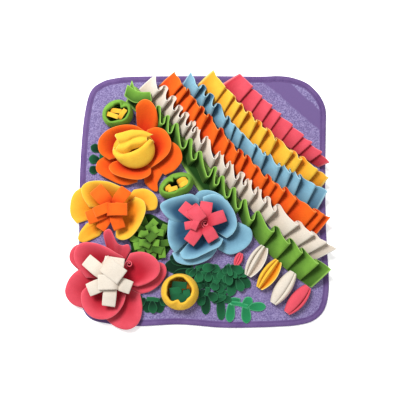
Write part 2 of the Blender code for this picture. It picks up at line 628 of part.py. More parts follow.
SPRIGS = {  # colour, stem's two ends, leaves
    "leaf_fan": (DARK_GREEN, ((-14, -119), (12, -114)), (
        Leaf(-12, -118, 232, 21, 8, 3.0, 8), Leaf(-3, -117, 250, 26, 8, 3.2, 6), Leaf(22, -115, 192, 25, 15, 6.2, 2),
        Leaf(4, -119, 200, 18, 8, 3.1, 2), Leaf(8, -117, 350, 22, 14, 3.2, 8), Leaf(2, -118, 275, 20, 12, 3.0, 1))),
    "leaf_pair": (DARK_GREEN, ((8, -152), (4, -168)), (
        Leaf(7, -158, 82, 22, 18), Leaf(5, -160, 268, 42, 17), Leaf(7, -156, 132, 20, 10), Leaf(4, -158, 215, 18, 9))),
    "leaf_wrap": (DARK_GREEN, ((28, -152), (31, -172)), (
        Leaf(29, -160, 96, 25, 18), Leaf(30, -160, 272, 52, 14, 0, 0, 0.5), Leaf(18, -163, 28, 26, 6, 1.6, 2),
        Leaf(18, -172, 28, 27, 7, 1.6, 2))),
    "leaf_right": (DARK_GREEN, ((42, -112), (56, -134)), (
        Leaf(43, -117, 268, 29, 17, 3.2, 2), Leaf(53, -130, 325, 38, 20, 2.0), Leaf(55, -132, 259, 38, 18, 1.4),
        Leaf(45, -115, 302, 26, 7, 3.2, 12), Leaf(43, -112, 285, 22, 7, 3.6, 22), Leaf(41, -113, 256, 17, 7, 3.0, 12),
        Leaf(48, -120, 318, 24, 7, 3.0, 5))),
    "sprig_bright": (BRIGHT_GREEN, ((48, -181), (80, -188)), (
        Leaf(50, -181, 264, 35, 15, 0, 0, 0.6), Leaf(75, -184, 274, 34, 16, 0, 0, 0.6),
        Leaf(76, -188, 1, 36, 15, 0, 0, 0.4), Leaf(72, -188, 52, 22, 13, 0, 0, 0.7),
        Leaf(66, -179, 175, 20, 11, 0, 0, 0.8))),
    "sprig_low": (DARK_GREEN, ((-102, -174), (-80, -176)), (
        Leaf(-98, -174, 262, 25, 18, 0, 0, 0.4), Leaf(-84, -175, 288, 25, 18, 0, 0, 0.4))),
    "sprig_left": (DARK_GREEN, ((-182, 94), (-188, 58)), (
        Leaf(-182, 91, 156, 22, 14), Leaf(-185, 76, 178, 21, 15), Leaf(-187, 61, 200, 19, 14))),
}


@dataclass(frozen=True)
class Fold:
    """A lens-shaped petal folded along its length into an open boat."""
    name: str
    colour: tuple
    x: float
    y: float
    azimuth: float
    length: float
    left: tuple
    right: tuple


FOLDS = (
    Fold("fold_cream_upper", CREAM, 93.6, -106.4, 60, 60, (-14, 13), (14, 15)),
    Fold("fold_yellow", YELLOW, 116, -130, 55, 60, (-13, 14), (14, 13)),
    Fold("fold_cream_lower", CREAM, 142, -154, 57, 66, (-14, 8), (14, 15)),
    Fold("fold_coral", CORAL, 167, -175, 51, 60, (-13, 10), (14, 13)),
    Fold("fold_coral_small", CORAL, 62, -103, 66, 24, (-6, 7), (7, 8)),
)


def leaf_grid(leaf: Leaf, across: int = 3, along: int = 4):
    """Mid-surface points of one leaf."""
    turn = math.radians(leaf.azimuth)
    rows = []
    for v in np.linspace(0, 1, along):
        half = leaf.width / 2 * (leaf.root + (1 - leaf.root) * math.sin(min(v / 0.66, 1) * math.pi / 2)) * \
            math.sqrt(1 - 0.62 * (max(v - 0.66, 0) / 0.34) ** 2)
        row = []
        for u in np.linspace(-1, 1, across):
            y = leaf.length * (v - 0.12 * u * u * v ** 3)
            x = u * half
            z = SEAT + 0.8 + leaf.height + leaf.length * v * math.tan(math.radians(leaf.rise))
            row.append((leaf.x + y * math.cos(turn) + x * math.sin(turn),
                        leaf.y + y * math.sin(turn) - x * math.cos(turn), z))
        rows.append(row)
    return np.array(rows)


def fold_grid(item: Fold, along: int = 7):
    """Mid-surface points of one folded petal."""
    turn = math.radians(item.azimuth)
    (lx, lz), (rx, rz) = item.left, item.right
    section = ((lx, lz), (lx * 0.75, lz * 0.35), (0.0, 0.0), (rx * 0.7, rz * 0.3), (rx, rz))
    rows = []
    for v in np.linspace(0, 1, along):
        share = 0.26 + 0.74 * math.sin(math.pi * (0.04 + 0.92 * v)) ** 0.62
        row = []
        for x, z in section:
            px, py = x * share, item.length * (v - 0.5)
            pz = SEAT + 1.2 + z * (0.35 + 0.65 * share) + 4.0 * abs(v - 0.5) ** 2
            row.append((item.x + py * math.cos(turn) + px * math.sin(turn),
                        item.y + py * math.sin(turn) - px * math.cos(turn), pz))
        rows.append(row)
    return np.array(rows)


def build_small_pieces() -> None:
    """Tuft, leaf sprigs and folded petals."""
    cx, cy = TUFT_CENTRE
    parts = [disc(TUFT_CENTRE, 13.0, SEAT, SEAT + FELT)]
    for n, (x, y, width, top) in enumerate(TUFT_STRIPS):
        start = (cx + x * 0.22, cy + y * 0.22)
        parts.append(sheet(strip_grid(start, (cx + x, cy + y), width, SEAT + FELT / 2 + 0.05 * n, SEAT + top)))
    fuse("tuft_green", parts, LEAF_GREEN)

    for name, (colour, stem, leaves) in SPRIGS.items():
        (ax, ay), (bx, by) = stem
        run = math.hypot(bx - ax, by - ay)
        ux, uy = (bx - ax) / run, (by - ay) / run
        mid = SEAT + 0.85
        lift = max(leaf.height for leaf in leaves) / 2
        path = np.array([[(x + uy * s * 3.0, y - ux * s * 3.0, mid + lift) for s in (-1, 1)]
                         for x, y in ((ax, ay), ((ax + bx) / 2, (ay + by) / 2), (bx, by))])
        parts = [sheet(path, 1.5 + 2 * lift)]
        parts += [sheet(leaf_grid(leaf), 1.6) for leaf in leaves]
        fuse(name, parts, colour)

    for item in FOLDS:
        add_object(item.name, *sheet(fold_grid(item)), item.colour)


def main() -> None:
    """Build the whole mat."""
    clear_scene()
    build_mat()
    build_ruffles()
    build_flowers()
    build_bud()
    build_cups()
    build_small_pieces()


main()
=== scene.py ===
"""Snuffle mat of felt and fleece, dressed for a plain studio picture.

The mat lies on the floor with its underside on z = 0 and its centre on the
origin.  A fleece base with a bound edge carries six pleated felt rows, four
flowers, three cups of strips, a tuft, leaf sprigs and folded petals.  Each of
them is cut as a flat sheet, shaped, given its thickness and rounded.  Sizes in
the classes are millimetres and azimuths are degrees, and meshes are metres.
"""
from __future__ import annotations

import logging
import math
from dataclasses import asdict, dataclass, replace
from enum import Enum
from typing import Iterable, NamedTuple, Sequence

import bpy
import numpy as np
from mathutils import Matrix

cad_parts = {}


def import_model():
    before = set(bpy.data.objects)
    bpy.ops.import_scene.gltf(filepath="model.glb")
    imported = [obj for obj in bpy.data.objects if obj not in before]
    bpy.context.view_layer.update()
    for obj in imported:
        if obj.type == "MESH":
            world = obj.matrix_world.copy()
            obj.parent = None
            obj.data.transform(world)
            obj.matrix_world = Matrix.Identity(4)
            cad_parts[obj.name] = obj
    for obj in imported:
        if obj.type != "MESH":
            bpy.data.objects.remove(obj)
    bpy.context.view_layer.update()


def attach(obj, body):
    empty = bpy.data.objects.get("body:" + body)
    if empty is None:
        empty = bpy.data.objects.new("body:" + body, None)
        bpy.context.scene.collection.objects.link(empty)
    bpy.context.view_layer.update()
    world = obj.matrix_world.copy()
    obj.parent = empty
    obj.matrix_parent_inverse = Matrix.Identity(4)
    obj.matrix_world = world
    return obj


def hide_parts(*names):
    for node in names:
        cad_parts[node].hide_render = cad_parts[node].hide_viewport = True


LOG = logging.getLogger("snuffle_mat")

MM = 0.001

# The mat's edge, anticlockwise from its right side, and the height that pieces sit at.
MAT_EDGE = (
    (220, 130), (220, 164), (213, 185), (201, 201), (184, 215), (159, 224), (134, 227), (100, 226),
    (0, 227), (-121, 226), (-158, 223), (-183, 216), (-203, 199), (-213, 163), (-219, 110), (-223, 35),
    (-224, -60), (-223, -150), (-218, -188), (-204, -209), (-174, -218), (-117, -223), (-42, -220),
    (40, -226), (134, -224), (176, -220), (201, -211), (218, -192), (225, -162), (225, -125), (221, -62),
    (219, 30))
SEAT = 4.5

# Thicknesses of the felt, the gap at a seam and the rise from one layer of petals to the next.
FELT = 2.0
ROW_FELT = 1.5
LEAF_FELT = 1.6
STRIP_FELT = 2.8
TUFT_FELT = 2.2
SEAM = 0.3
LAYER_STEP = 3.1

# Share of its colour's light that dyed cloth gives back.
DYE = 0.72

Colour = tuple[float, float, float]
Spot = tuple[float, float]
Point = tuple[float, float, float]
Body = bpy.types.Object
Socket = bpy.types.NodeSocket
Look = tuple[Socket, Socket, Socket]


def srgb(red: int, green: int, blue: int) -> Colour:
    """Turn a colour of 0 to 255 into the linear values that shaders take.

    Args:
        red: the red share, 0 to 255.
        green: the green share.
        blue: the blue share.

    Returns:
        The three linear values, 0 to 1.
    """
    def linear(value: int) -> float:
        """Linear value of one share."""
        share = value / 255
        return share / 12.92 if share <= 0.04045 else ((share + 0.055) / 1.055) ** 2.4

    return linear(red), linear(green), linear(blue)


class Held(Enum):
    """How a sheet of cloth is held."""
    LAID = "laid"
    GATHERED = "gathered"
    FOLDED = "folded"


# ---- shader groups ------------------------------------------------------------
class ShaderKit:
    """Small helpers that place and join shader nodes in one tree."""

    def __init__(self, tree: bpy.types.NodeTree) -> None:
        """Keep the tree of a material or of a group."""
        self.tree = tree

    def node(self, kind: str, **values: object) -> bpy.types.Node:
        """Add a node and set its properties.

        Args:
            kind: the node's type name.
            **values: properties to set on it.

        Returns:
            The new node.
        """
        made = self.tree.nodes.new(kind)
        for key, value in values.items():
            setattr(made, key, value)
        return made

    def feed(self, spot: Socket, value: object) -> None:
        """Give an input what it works with.

        Args:
            spot: the input.
            value: a number, a linear colour or another node's output.
        """
        if isinstance(value, Socket):
            self.tree.links.new(value, spot)
        elif isinstance(value, tuple):
            spot.default_value = (*value, 1.0)
        else:
            spot.default_value = value

    def feed_all(self, node: bpy.types.Node, values: dict[str, object]) -> None:
        """Feed a node's inputs by their names."""
        for label, value in values.items():
            self.feed(node.inputs[label], value)

    def noise(self, scale: object, detail: float, rough: float, place: Socket, warp: float = 0.0) -> Socket:
        """Add a noise texture.

        Args:
            scale: cells per metre, a number or a socket.
            detail: octaves.
            rough: how strong the fine octaves are.
            place: the coordinates to read.
            warp: distortion.

        Returns:
            The value socket, about 0.3 to 0.7.
        """
        made = self.node("ShaderNodeTexNoise")
        self.feed_all(made, {"Scale": scale, "Detail": detail, "Roughness": rough, "Distortion": warp,
                             "Vector": place})
        return made.outputs["Fac"]

    def remap(self, value: Socket, low: float, high: float, out_low: float, out_high: float,
              smooth: bool = False) -> Socket:
        """Map a range of values to another and clamp it.

        Args:
            value: the value to map.
            low: start of its range.
            high: end of its range.
            out_low: result at the start.
            out_high: result at the end.
            smooth: ease in and out.

        Returns:
            The mapped value's socket.
        """
        made = self.node("ShaderNodeMapRange", interpolation_type="SMOOTHSTEP" if smooth else "LINEAR")
        self.feed_all(made, {"Value": value, "From Min": low, "From Max": high, "To Min": out_low,
                             "To Max": out_high})
        return made.outputs["Result"]

    def math(self, action: str, first: object, second: object) -> Socket:
        """Add a math node.

        Args:
            action: the operation's name.
            first: first input, a number or a socket.
            second: second input, likewise.

        Returns:
            The result's socket.
        """
        made = self.node("ShaderNodeMath", operation=action)
        self.feed(made.inputs[0], first)
        self.feed(made.inputs[1], second)
        return made.outputs["Value"]

    def mix(self, share: object, first: object, second: object, blend: str = "MIX") -> Socket:
        """Mix two colours; each is a linear colour or a socket.

        Args:
            share: how much of the second colour, a number or a socket.
            first: colour at 0.
            second: colour at 1.
            blend: the blend type.

        Returns:
            The mixed colour's socket.
        """
        made = self.node("ShaderNodeMix", data_type="RGBA", blend_type=blend)
        self.feed(made.inputs["Factor"], share)
        for label, value in (("A", first), ("B", second)):
            self.feed(next(s for s in made.inputs if s.name == label and s.type == "RGBA"), value)
        return next(s for s in made.outputs if s.type == "RGBA")

    def attribute(self, name: str) -> Socket:
        """Read a value that the mesh stores at its points."""
        return self.node("ShaderNodeAttribute", attribute_name=name).outputs["Fac"]


class WeaveGroup:
    """A cloth's shader group: three colours and its sizes in; colour, roughness and height out."""
    name = "plain"
    colours: tuple[str, ...] = ("Colour", "Deep", "Edge")
    sizes: tuple[str, ...] = ()
    results = {"Colour": "NodeSocketColor", "Roughness": "NodeSocketFloat", "Height": "NodeSocketFloat"}

    def __init__(self) -> None:
        """Make the group with its sockets, and paint it."""
        tree = bpy.data.node_groups.new(self.name, "ShaderNodeTree")
        sockets = [(label, "INPUT", "NodeSocketColor") for label in self.colours]
        sockets += [(label, "INPUT", "NodeSocketFloat") for label in self.sizes]
        sockets += [(label, "OUTPUT", kind) for label, kind in self.results.items()]
        for label, direction, kind in sockets:
            tree.interface.new_socket(name=label, in_out=direction, socket_type=kind)
        self.kit = ShaderKit(tree)
        self.given = self.kit.node("NodeGroupInput").outputs
        self.place = self.kit.node("ShaderNodeTexCoord").outputs["Object"]
        self.kit.feed_all(self.kit.node("NodeGroupOutput"), dict(zip(self.results, self.paint())))

    @classmethod
    def tree(cls) -> bpy.types.NodeTree:
        """The group's tree, made once."""
        return bpy.data.node_groups.get(cls.name) or cls().kit.tree

    def paint(self) -> Look:
        """The cloth's colour, roughness and height; each kind of cloth has its own."""
        raise NotImplementedError(self.name)


class FeltNap(WeaveGroup):
    """Pressed wool felt: short fibres, mottling, painted shade deep down and a painted highlight on cut
    edges.
    """
    name = "felt_nap"
    sizes = ("Fibre Size", "Edge Highlight")

    def paint(self) -> Look:
        """Paint shade in by the depth tone, mottle the felt, roughen it with fibres and paint a highlight on
        its edge.

        Returns:
            The sockets that carry them.
        """
        kit, given = self.kit, self.given
        nap = kit.noise(given["Fibre Size"], 5.0, 0.72, self.place, warp=0.6)
        mottle = kit.noise(70.0, 3.0, 0.55, self.place)
        # Painted shade: where the stored depth tone is low the felt is mixed towards its Deep colour.
        depth = kit.remap(kit.attribute("depth"), 0.0, 0.75, 1.0, 0.0, smooth=True)
        toned = kit.mix(depth, given["Colour"], given["Deep"])
        toned = kit.mix(kit.remap(mottle, 0.35, 0.65, 0.0, 0.16), toned, given["Deep"])
        toned = kit.mix(1.0, toned, kit.remap(nap, 0.34, 0.68, 0.90, 1.07), "MULTIPLY")
        # Painted highlight: the cut edges and the rows' fold tops are mixed towards the paler Edge colour.
        rim = kit.remap(kit.attribute("rim"), 0.35, 0.95, 0.0, 1.0)
        colour = kit.mix(kit.math("MULTIPLY", rim, given["Edge Highlight"]), toned, given["Edge"])
        height = kit.math("ADD", kit.math("MULTIPLY", nap, 0.8), kit.math("MULTIPLY", mottle, 0.5))
        return colour, kit.remap(nap, 0.3, 0.7, 0.84, 0.97), height


class FleecePile(WeaveGroup):
    """Speckled fleece with clumps of pile and one slanting band of brushed nap."""
    name = "fleece_pile"
    colours = ("Colour", "Speck", "Band")
    sizes = ("Pile Size",)
    slant = (0.65, 0.76)
    band_start = (0.2310, 0.2350)
    band_end = (0.2590, 0.2625)
    band_stray = 0.004

    def paint(self) -> Look:
        """Speckle the pile, cloud it and comb the band flat.

        Returns:
            The sockets that carry them.
        """
        kit, given = self.kit, self.given
        clump = kit.noise(given["Pile Size"], 4.0, 0.75, self.place)
        cloud = kit.noise(16.0, 3.0, 0.6, self.place)
        ground = kit.mix(kit.remap(clump, 0.40, 0.62, 0.0, 1.0), given["Colour"], given["Speck"])
        ground = kit.mix(kit.remap(cloud, 0.36, 0.66, 0.0, 0.30), ground, given["Band"])
        split = kit.node("ShaderNodeSeparateXYZ")
        kit.feed(split.inputs["Vector"], self.place)
        across = kit.math("ADD", kit.math("MULTIPLY", split.outputs["X"], self.slant[0]),
                          kit.math("MULTIPLY", split.outputs["Y"], self.slant[1]))
        across = kit.math("ADD", across, kit.remap(cloud, 0.3, 0.7, -self.band_stray, self.band_stray))
        inside = kit.math("MULTIPLY", kit.remap(across, *self.band_start, 0.0, 1.0, True),
                          kit.remap(across, *self.band_end, 1.0, 0.0, True))
        combed = kit.mix(kit.remap(clump, 0.3, 0.7, 0.0, 0.25), given["Band"], given["Colour"])
        fluff = kit.math("SUBTRACT", 1.0, kit.math("MULTIPLY", inside, 0.7))
        return (kit.mix(inside, ground, combed), kit.remap(clump, 0.3, 0.7, 0.9, 1.0),
                kit.math("MULTIPLY", clump, fluff))


class TapeRib(WeaveGroup):
    """Woven tape: a fine grain, worn patches and painted shade in the groove where it is stitched."""
    name = "tape_rib"
    sizes = ("Rib Size",)

    def paint(self) -> Look:
        """Grain the tape, give it worn patches and paint shade into its groove.

        Returns:
            The sockets that carry them.
        """
        kit, given = self.kit, self.given
        rib = kit.noise(given["Rib Size"], 2.0, 0.5, self.place)
        cloud = kit.noise(40.0, 2.0, 0.5, self.place)
        toned = kit.mix(kit.remap(rib, 0.3, 0.75, 0.55, 0.0), given["Colour"], given["Deep"])
        toned = kit.mix(kit.remap(cloud, 0.35, 0.65, 0.0, 0.25), toned, given["Edge"])
        # Painted shade along the stitched groove, where the depth tone is 0.
        groove = kit.remap(kit.attribute("depth"), 0.0, 1.0, 0.75, 0.0, smooth=True)
        return kit.mix(groove, toned, given["Deep"]), kit.remap(rib, 0.3, 0.7, 0.72, 0.9), rib


class Weave(Enum):
    """The kinds of cloth, each with its own shader group."""
    FELT = FeltNap
    FLEECE = FleecePile
    TAPE = TapeRib


@dataclass(frozen=True)
class ClothFinish:
    """One cloth's look: its colours, grain and sheen.

    `grain` is the size of its fibres, pile or ribs in cells per metre, its edge highlight how
    strongly a highlight is painted on its cut edge and `relief` how strongly its grain stands out;
    `relief_depth` is in metres.
    """
    name: str
    slot: str
    colour: Colour
    deep: Colour
    edge: Colour
    weave: Weave = Weave.FELT
    grain: float = 620.0
    edge_highlight: float = 0.8
    sheen: float = 0.25
    sheen_rough: float = 0.55
    gloss: float = 0.15
    relief: float = 0.35
    relief_depth: float = 0.0008

    def material(self) -> bpy.types.Material:
        """Make the finish's material the first time that it is asked for.

        Returns:
            This finish's material, made once.
        """
        known = bpy.data.materials.get(self.name)
        if known:
            return known
        made = bpy.data.materials.new(self.name)
        made.use_nodes = True
        kit = ShaderKit(made.node_tree)
        weave = self.weave.value
        cloth = kit.node("ShaderNodeGroup", node_tree=weave.tree())
        dyes = [tuple(part * DYE for part in colour) for colour in (self.colour, self.deep, self.edge)]
        kit.feed_all(cloth, dict(zip(weave.colours, dyes)))
        # The felt's second size is the strength of the highlight painted on its cut edge.
        kit.feed_all(cloth, dict(zip(weave.sizes, (self.grain, self.edge_highlight))))
        bump = kit.node("ShaderNodeBump")
        kit.feed_all(bump, {"Strength": self.relief, "Distance": self.relief_depth,
                            "Height": cloth.outputs["Height"]})
        kit.feed_all(made.node_tree.nodes["Principled BSDF"], {
            "Base Color": cloth.outputs["Colour"], "Roughness": cloth.outputs["Roughness"],
            "Normal": bump.outputs["Normal"], "Sheen Tint": self.edge, "Sheen Weight": self.sheen,
            "Sheen Roughness": self.sheen_rough, "Specular IOR Level": self.gloss})
        return made


# Each finish holds a colour, a deep colour and an edge colour.  On felt the deep colour is painted shade and
# the edge colour a painted highlight; on fleece they are its speckle and its band, and on tape its darker
# threads, also painted as shade in the stitched groove, and its pale patches.  The edge colour also tints
# the sheen.
CORAL = ClothFinish("coral_wool", "coral_felt", srgb(234, 88, 104), srgb(184, 26, 46), srgb(252, 142, 150))
ORANGE = ClothFinish("orange_wool", "orange_felt", srgb(254, 108, 26), srgb(206, 38, 4), srgb(255, 156, 82))
YELLOW = ClothFinish("yellow_wool", "yellow_felt", srgb(254, 202, 64), srgb(236, 128, 12),
                     srgb(255, 230, 134))
BLUE = ClothFinish("blue_wool", "blue_felt", srgb(144, 196, 218), srgb(44, 86, 120), srgb(182, 222, 236))
CREAM = ClothFinish("cream_wool", "cream_felt", srgb(230, 220, 205), srgb(212, 192, 172),
                    srgb(246, 240, 230))
GREEN = ClothFinish("leaf_green_wool", "light_green_felt", srgb(122, 174, 64), srgb(22, 62, 14),
                    srgb(168, 214, 106))
DARK = ClothFinish("dark_green_wool", "dark_green_felt", srgb(32, 104, 64), srgb(3, 30, 20),
                   srgb(62, 136, 92), edge_highlight=0.5)
BRIGHT = ClothFinish("bright_green_wool", "bright_green_felt", srgb(44, 152, 96), srgb(30, 122, 74),
                     srgb(104, 196, 146))
FLEECE = ClothFinish("lavender_pile", "lavender_fleece", srgb(104, 92, 142), srgb(170, 158, 204),
                     srgb(116, 94, 146), Weave.FLEECE, grain=420.0, relief=0.8)
TAPE = ClothFinish("purple_tape", "purple_binding", srgb(112, 86, 142), srgb(76, 56, 108),
                   srgb(142, 118, 170), Weave.TAPE, grain=500.0, relief=0.5)
THREAD = ClothFinish("purple_thread", "purple_binding", srgb(84, 60, 124), srgb(62, 42, 98),
                     srgb(128, 102, 168), edge_highlight=0.2)


# ---- lines and grids ----------------------------------------------------------
def arc_lengths(points: np.ndarray, axis: int = 0) -> np.ndarray:
    """How far each point is from the first one, measured along its line.

    Args:
        points: a line or a grid of points, with the coordinates last.
        axis: the axis that the lines run along.

    Returns:
        The distances, 0 for the first points.
    """
    steps = np.linalg.norm(np.diff(points, axis=axis), axis=-1)
    start = np.zeros_like(np.take(steps, [0], axis=axis))
    return np.concatenate([start, np.cumsum(steps, axis=axis)], axis=axis)


def surface_area(grid: np.ndarray) -> float:
    """Area of a (rows, columns, 3) grid of points, in its own unit squared.

    Args:
        grid: the points.

    Returns:
        The area.
    """
    a, b, c, d = grid[:-1, :-1], grid[:-1, 1:], grid[1:, 1:], grid[1:, :-1]
    first = np.linalg.norm(np.cross(b - a, c - a), axis=2)
    second = np.linalg.norm(np.cross(c - a, d - a), axis=2)
    return float((first + second).sum() / 2)


def edge_nearness(grid: np.ndarray, reach: float = 2.2, closed: bool = False) -> np.ndarray:
    """How near each point is to the cloth's cut edge, 1 on it and 0 from `reach` on.

    Args:
        grid: the points, in mm.
        reach: width of the edge's band, in mm.
        closed: whether the columns run round and meet.

    Returns:
        A (rows, columns) array.
    """
    along, across = arc_lengths(grid, 0), arc_lengths(grid, 1)
    nearest = np.minimum(along, along[-1:] - along)
    if not closed:
        nearest = np.minimum(nearest, np.minimum(across, across[:, -1:] - across))
    return np.clip(1 - nearest / reach, 0, 1)


def bezier(points: Sequence[Spot], at: np.ndarray) -> np.ndarray:
    """Points on a cubic curve in the plane.

    Args:
        points: the four control points.
        at: where on the curve, 0 to 1.

    Returns:
        An array of points.
    """
    p = np.array(points, dtype=float)
    t = np.asarray(at)[:, None]
    return (1 - t) ** 3 * p[0] + 3 * t * (1 - t) ** 2 * p[1] + 3 * t * t * (1 - t) * p[2] + t ** 3 * p[3]


def rounded_spans(points: np.ndarray, steps: int) -> np.ndarray:
    """A smooth curve from the second of some points through to the last but one.

    Args:
        points: what it passes through, with one more point before and one after.
        steps: points for each span; the curve's last point isn't among them.

    Returns:
        The curve's points.
    """
    share = np.linspace(0, 1, steps, endpoint=False)[:, None]
    spans = []
    for a, b, c, d in zip(points, points[1:], points[2:], points[3:]):
        spans.append(0.5 * (2 * b + (c - a) * share + (2 * a - 5 * b + 4 * c - d) * share ** 2
                            + (3 * b - a - 3 * c + d) * share ** 3))
    return np.vstack(spans)


def smooth_line(points: Iterable[Sequence[float]], count: int) -> np.ndarray:
    """A smooth line through points, evenly spaced along its length.

    Args:
        points: what it passes through.
        count: how many points come back.

    Returns:
        The line's points.
    """
    p = np.array(list(points), dtype=float)
    curve = rounded_spans(np.vstack([2 * p[0] - p[1], p, 2 * p[-1] - p[-2]]), 14)
    line = np.vstack([curve, p[-1:]])
    run = arc_lengths(line)
    even = np.linspace(0, run[-1], count)
    return np.column_stack([np.interp(even, run, line[:, k]) for k in range(line.shape[1])])


def dense_ends(count: int) -> np.ndarray:
    """Values from -1 to 1 that crowd towards both ends, where a sheet's rim is."""
    return np.sin(np.linspace(-math.pi / 2, math.pi / 2, count))


def turned(x: np.ndarray, y: np.ndarray, azimuth: float) -> tuple[np.ndarray, np.ndarray]:
    """Lay a pattern's length `y` out along an azimuth, with `x` to its right.

    Args:
        x: sideways, mm.
        y: lengthwise, mm.
        azimuth: degrees from +X.

    Returns:
        The plan coordinates.
    """
    turn = math.radians(azimuth)
    return y * math.cos(turn) + x * math.sin(turn), y * math.sin(turn) - x * math.cos(turn)


def strip_grid(start: Spot, ahead: Spot, line: np.ndarray, bow: object, across: int) -> np.ndarray:
    """Spread a straight strip's centre line into a grid.

    Args:
        start: where the line starts in the plan.
        ahead: the way that it runs, of length 1.
        line: rows of distance from the start, height and width.
        bow: how far the middle stands over the sides, one value or one for each row.
        across: points across the strip.

    Returns:
        The grid's points.
    """
    side = dense_ends(across)
    out, height, width = line[:, 0:1], line[:, 1:2], line[:, 2:3]
    x = side * width / 2
    return np.dstack([start[0] + ahead[0] * out + ahead[1] * x, start[1] + ahead[1] * out - ahead[0] * x,
                      height + bow * (1 - side ** 2)])


# ---- cutting table ------------------------------------------------------------
@dataclass
class Cut:
    """One sheet before it gets its thickness: a grid of points in mm, and its painted tones.

    `depth` is the painted shade tone, 0 in full painted shade deep down and 1 at the lit top,
    and `rim` is 1 on a cut edge, where a highlight is painted.
    The columns of a `closed` cut run round and meet.
    """
    grid: np.ndarray
    depth: np.ndarray | float = 1.0
    closed: bool = False
    rim: np.ndarray | None = None

    def reach(self) -> tuple[float, float]:
        """Width and length of the piece of cloth that it is cut from.

        Returns:
            The two lengths in mm, measured along the cloth; a closed cut round
            one middle point counts as a disc, and any other as a band.
        """
        along, across = (float(np.linalg.norm(np.diff(self.grid, axis=axis), axis=2).sum(axis=axis).max())
                         for axis in (0, 1))
        centred = self.closed and np.ptp(self.grid[0], axis=0).max() < 1e-6
        return (2 * along, 2 * along) if centred else (across, along)

    def area(self) -> float:
        """Area of the flat cloth, in square millimetres."""
        return surface_area(self.grid)

    def toned(self, share: float) -> "Cut":
        """The same cut with its painted shade tones scaled; a smaller share paints it darker."""
        return replace(self, depth=self.depth * share)


def round_patch(centre: Spot, rings: Sequence[object], height: float, count: int) -> Cut:
    """A flat round patch of cloth.

    Args:
        centre: its middle.
        rings: reach of each ring, one value or one for each point round it.
        height: its height.
        count: points round it, the first one repeated.

    Returns:
        The cut patch.
    """
    turn = np.linspace(0, 2 * math.pi, count)
    rows = [np.column_stack([centre[0] + reach * np.cos(turn), centre[1] + reach * np.sin(turn),
                             np.full(count, height)]) for reach in rings]
    # Depth 0 paints the whole patch in the deep, shaded tone.
    return Cut(np.array(rows), 0.0, closed=True, rim=np.zeros((len(rows), count)))


class CuttingTable:
    """Turns cut sheets into finished felt with Blender's own operators."""
    RIM_CREASE = 0.45
    MERGE_REACH = 0.00002

    @staticmethod
    def deselect() -> None:
        """Deselect every object."""
        bpy.ops.object.select_all(action="DESELECT")

    @classmethod
    def pick(cls, *bodies: Body) -> None:
        """Select these objects alone and make the first one active.

        Args:
            *bodies: the objects.
        """
        cls.deselect()
        for body in bodies:
            body.select_set(True)
        bpy.context.view_layer.objects.active = bodies[0]

    @classmethod
    def modify(cls, body: Body, kind: str, **values: object) -> None:
        """Add a modifier to an object and apply it.

        Args:
            body: the object.
            kind: the modifier's type name.
            **values: the modifier's settings.
        """
        cls.pick(body)
        made = body.modifiers.new(kind.lower(), kind)
        for key, value in values.items():
            setattr(made, key, value)
        bpy.ops.object.modifier_apply(modifier=made.name)

    @classmethod
    def close(cls, body: Body) -> None:
        """Merge the points that meet where a sheet runs round.

        Args:
            body: the sheet's object.
        """
        cls.pick(body)
        bpy.ops.object.mode_set(mode="EDIT")
        bpy.ops.mesh.select_all(action="SELECT")
        bpy.ops.mesh.remove_doubles(threshold=cls.MERGE_REACH)
        bpy.ops.mesh.normals_make_consistent(inside=False)
        bpy.ops.object.mode_set(mode="OBJECT")

    @classmethod
    def lay(cls, name: str, cut: Cut) -> Body:
        """Lay a flat grid of cloth and shape it to a cut's points.

        Args:
            name: the object's name.
            cut: the points and tones.

        Returns:
            The shaped sheet, still without thickness.
        """
        rows, columns, _ = cut.grid.shape
        cls.deselect()
        bpy.ops.mesh.primitive_grid_add(x_subdivisions=columns - 1, y_subdivisions=rows - 1, size=1.0)
        body = bpy.context.active_object
        body.name = body.data.name = name
        mesh = body.data
        flat = np.empty(len(mesh.vertices) * 3, dtype=np.float32)
        mesh.vertices.foreach_get("co", flat)
        flat = flat.reshape(-1, 3)
        column = np.rint((flat[:, 0] + 0.5) * (columns - 1)).astype(int)
        row = np.rint((flat[:, 1] + 0.5) * (rows - 1)).astype(int)
        mesh.vertices.foreach_set("co", (cut.grid[row, column] * MM).astype(np.float32).ravel())
        # The rim tone says where a highlight is painted on a cut edge, the depth tone where shade is
        # painted.
        rim = edge_nearness(cut.grid, closed=cut.closed) if cut.rim is None else cut.rim
        for label, table in (("rim", rim), ("depth", cut.depth)):
            spread = np.broadcast_to(np.asarray(table, dtype=np.float32), (rows, columns))
            layer = mesh.attributes.new(label, "FLOAT", "POINT")
            layer.data.foreach_set("value", np.ascontiguousarray(spread[row, column]))
        mesh.update()
        if cut.closed:
            cls.close(body)
        return body

    @classmethod
    def sew(cls, name: str, cuts: Sequence[Cut], thick: float, finish: ClothFinish,
            rounding: int = 1) -> Body:
        """Shape sheets, give them their thickness, round them and join them.

        Args:
            name: the finished object's name.
            cuts: the sheets that make the piece.
            thick: the cloth's thickness in mm.
            finish: the cloth's look.
            rounding: levels of subdivision.

        Returns:
            The finished object.
        """
        bodies = []
        for number, cut in enumerate(cuts):
            body = cls.lay(f"{name}_cut{number}", cut)
            cls.modify(body, "SOLIDIFY", thickness=thick * MM, offset=0.0, edge_crease_rim=cls.RIM_CREASE)
            if rounding:
                cls.modify(body, "SUBSURF", levels=rounding, render_levels=rounding)
            bodies.append(body)
        return cls.join(name, bodies, finish)

    @classmethod
    def join(cls, name: str, bodies: Sequence[Body], finish: ClothFinish) -> Body:
        """Join objects into one, smooth it and dress it.

        Args:
            name: the finished object's name.
            bodies: what to join.
            finish: the cloth's look.

        Returns:
            The joined object.
        """
        cls.pick(*bodies)
        if len(bodies) > 1:
            bpy.ops.object.join()
        body = bpy.context.view_layer.objects.active
        body.name = body.data.name = name
        body.data.materials.clear()
        body.data.materials.append(finish.material())
        cls.pick(body)
        bpy.ops.object.shade_smooth()
        return body


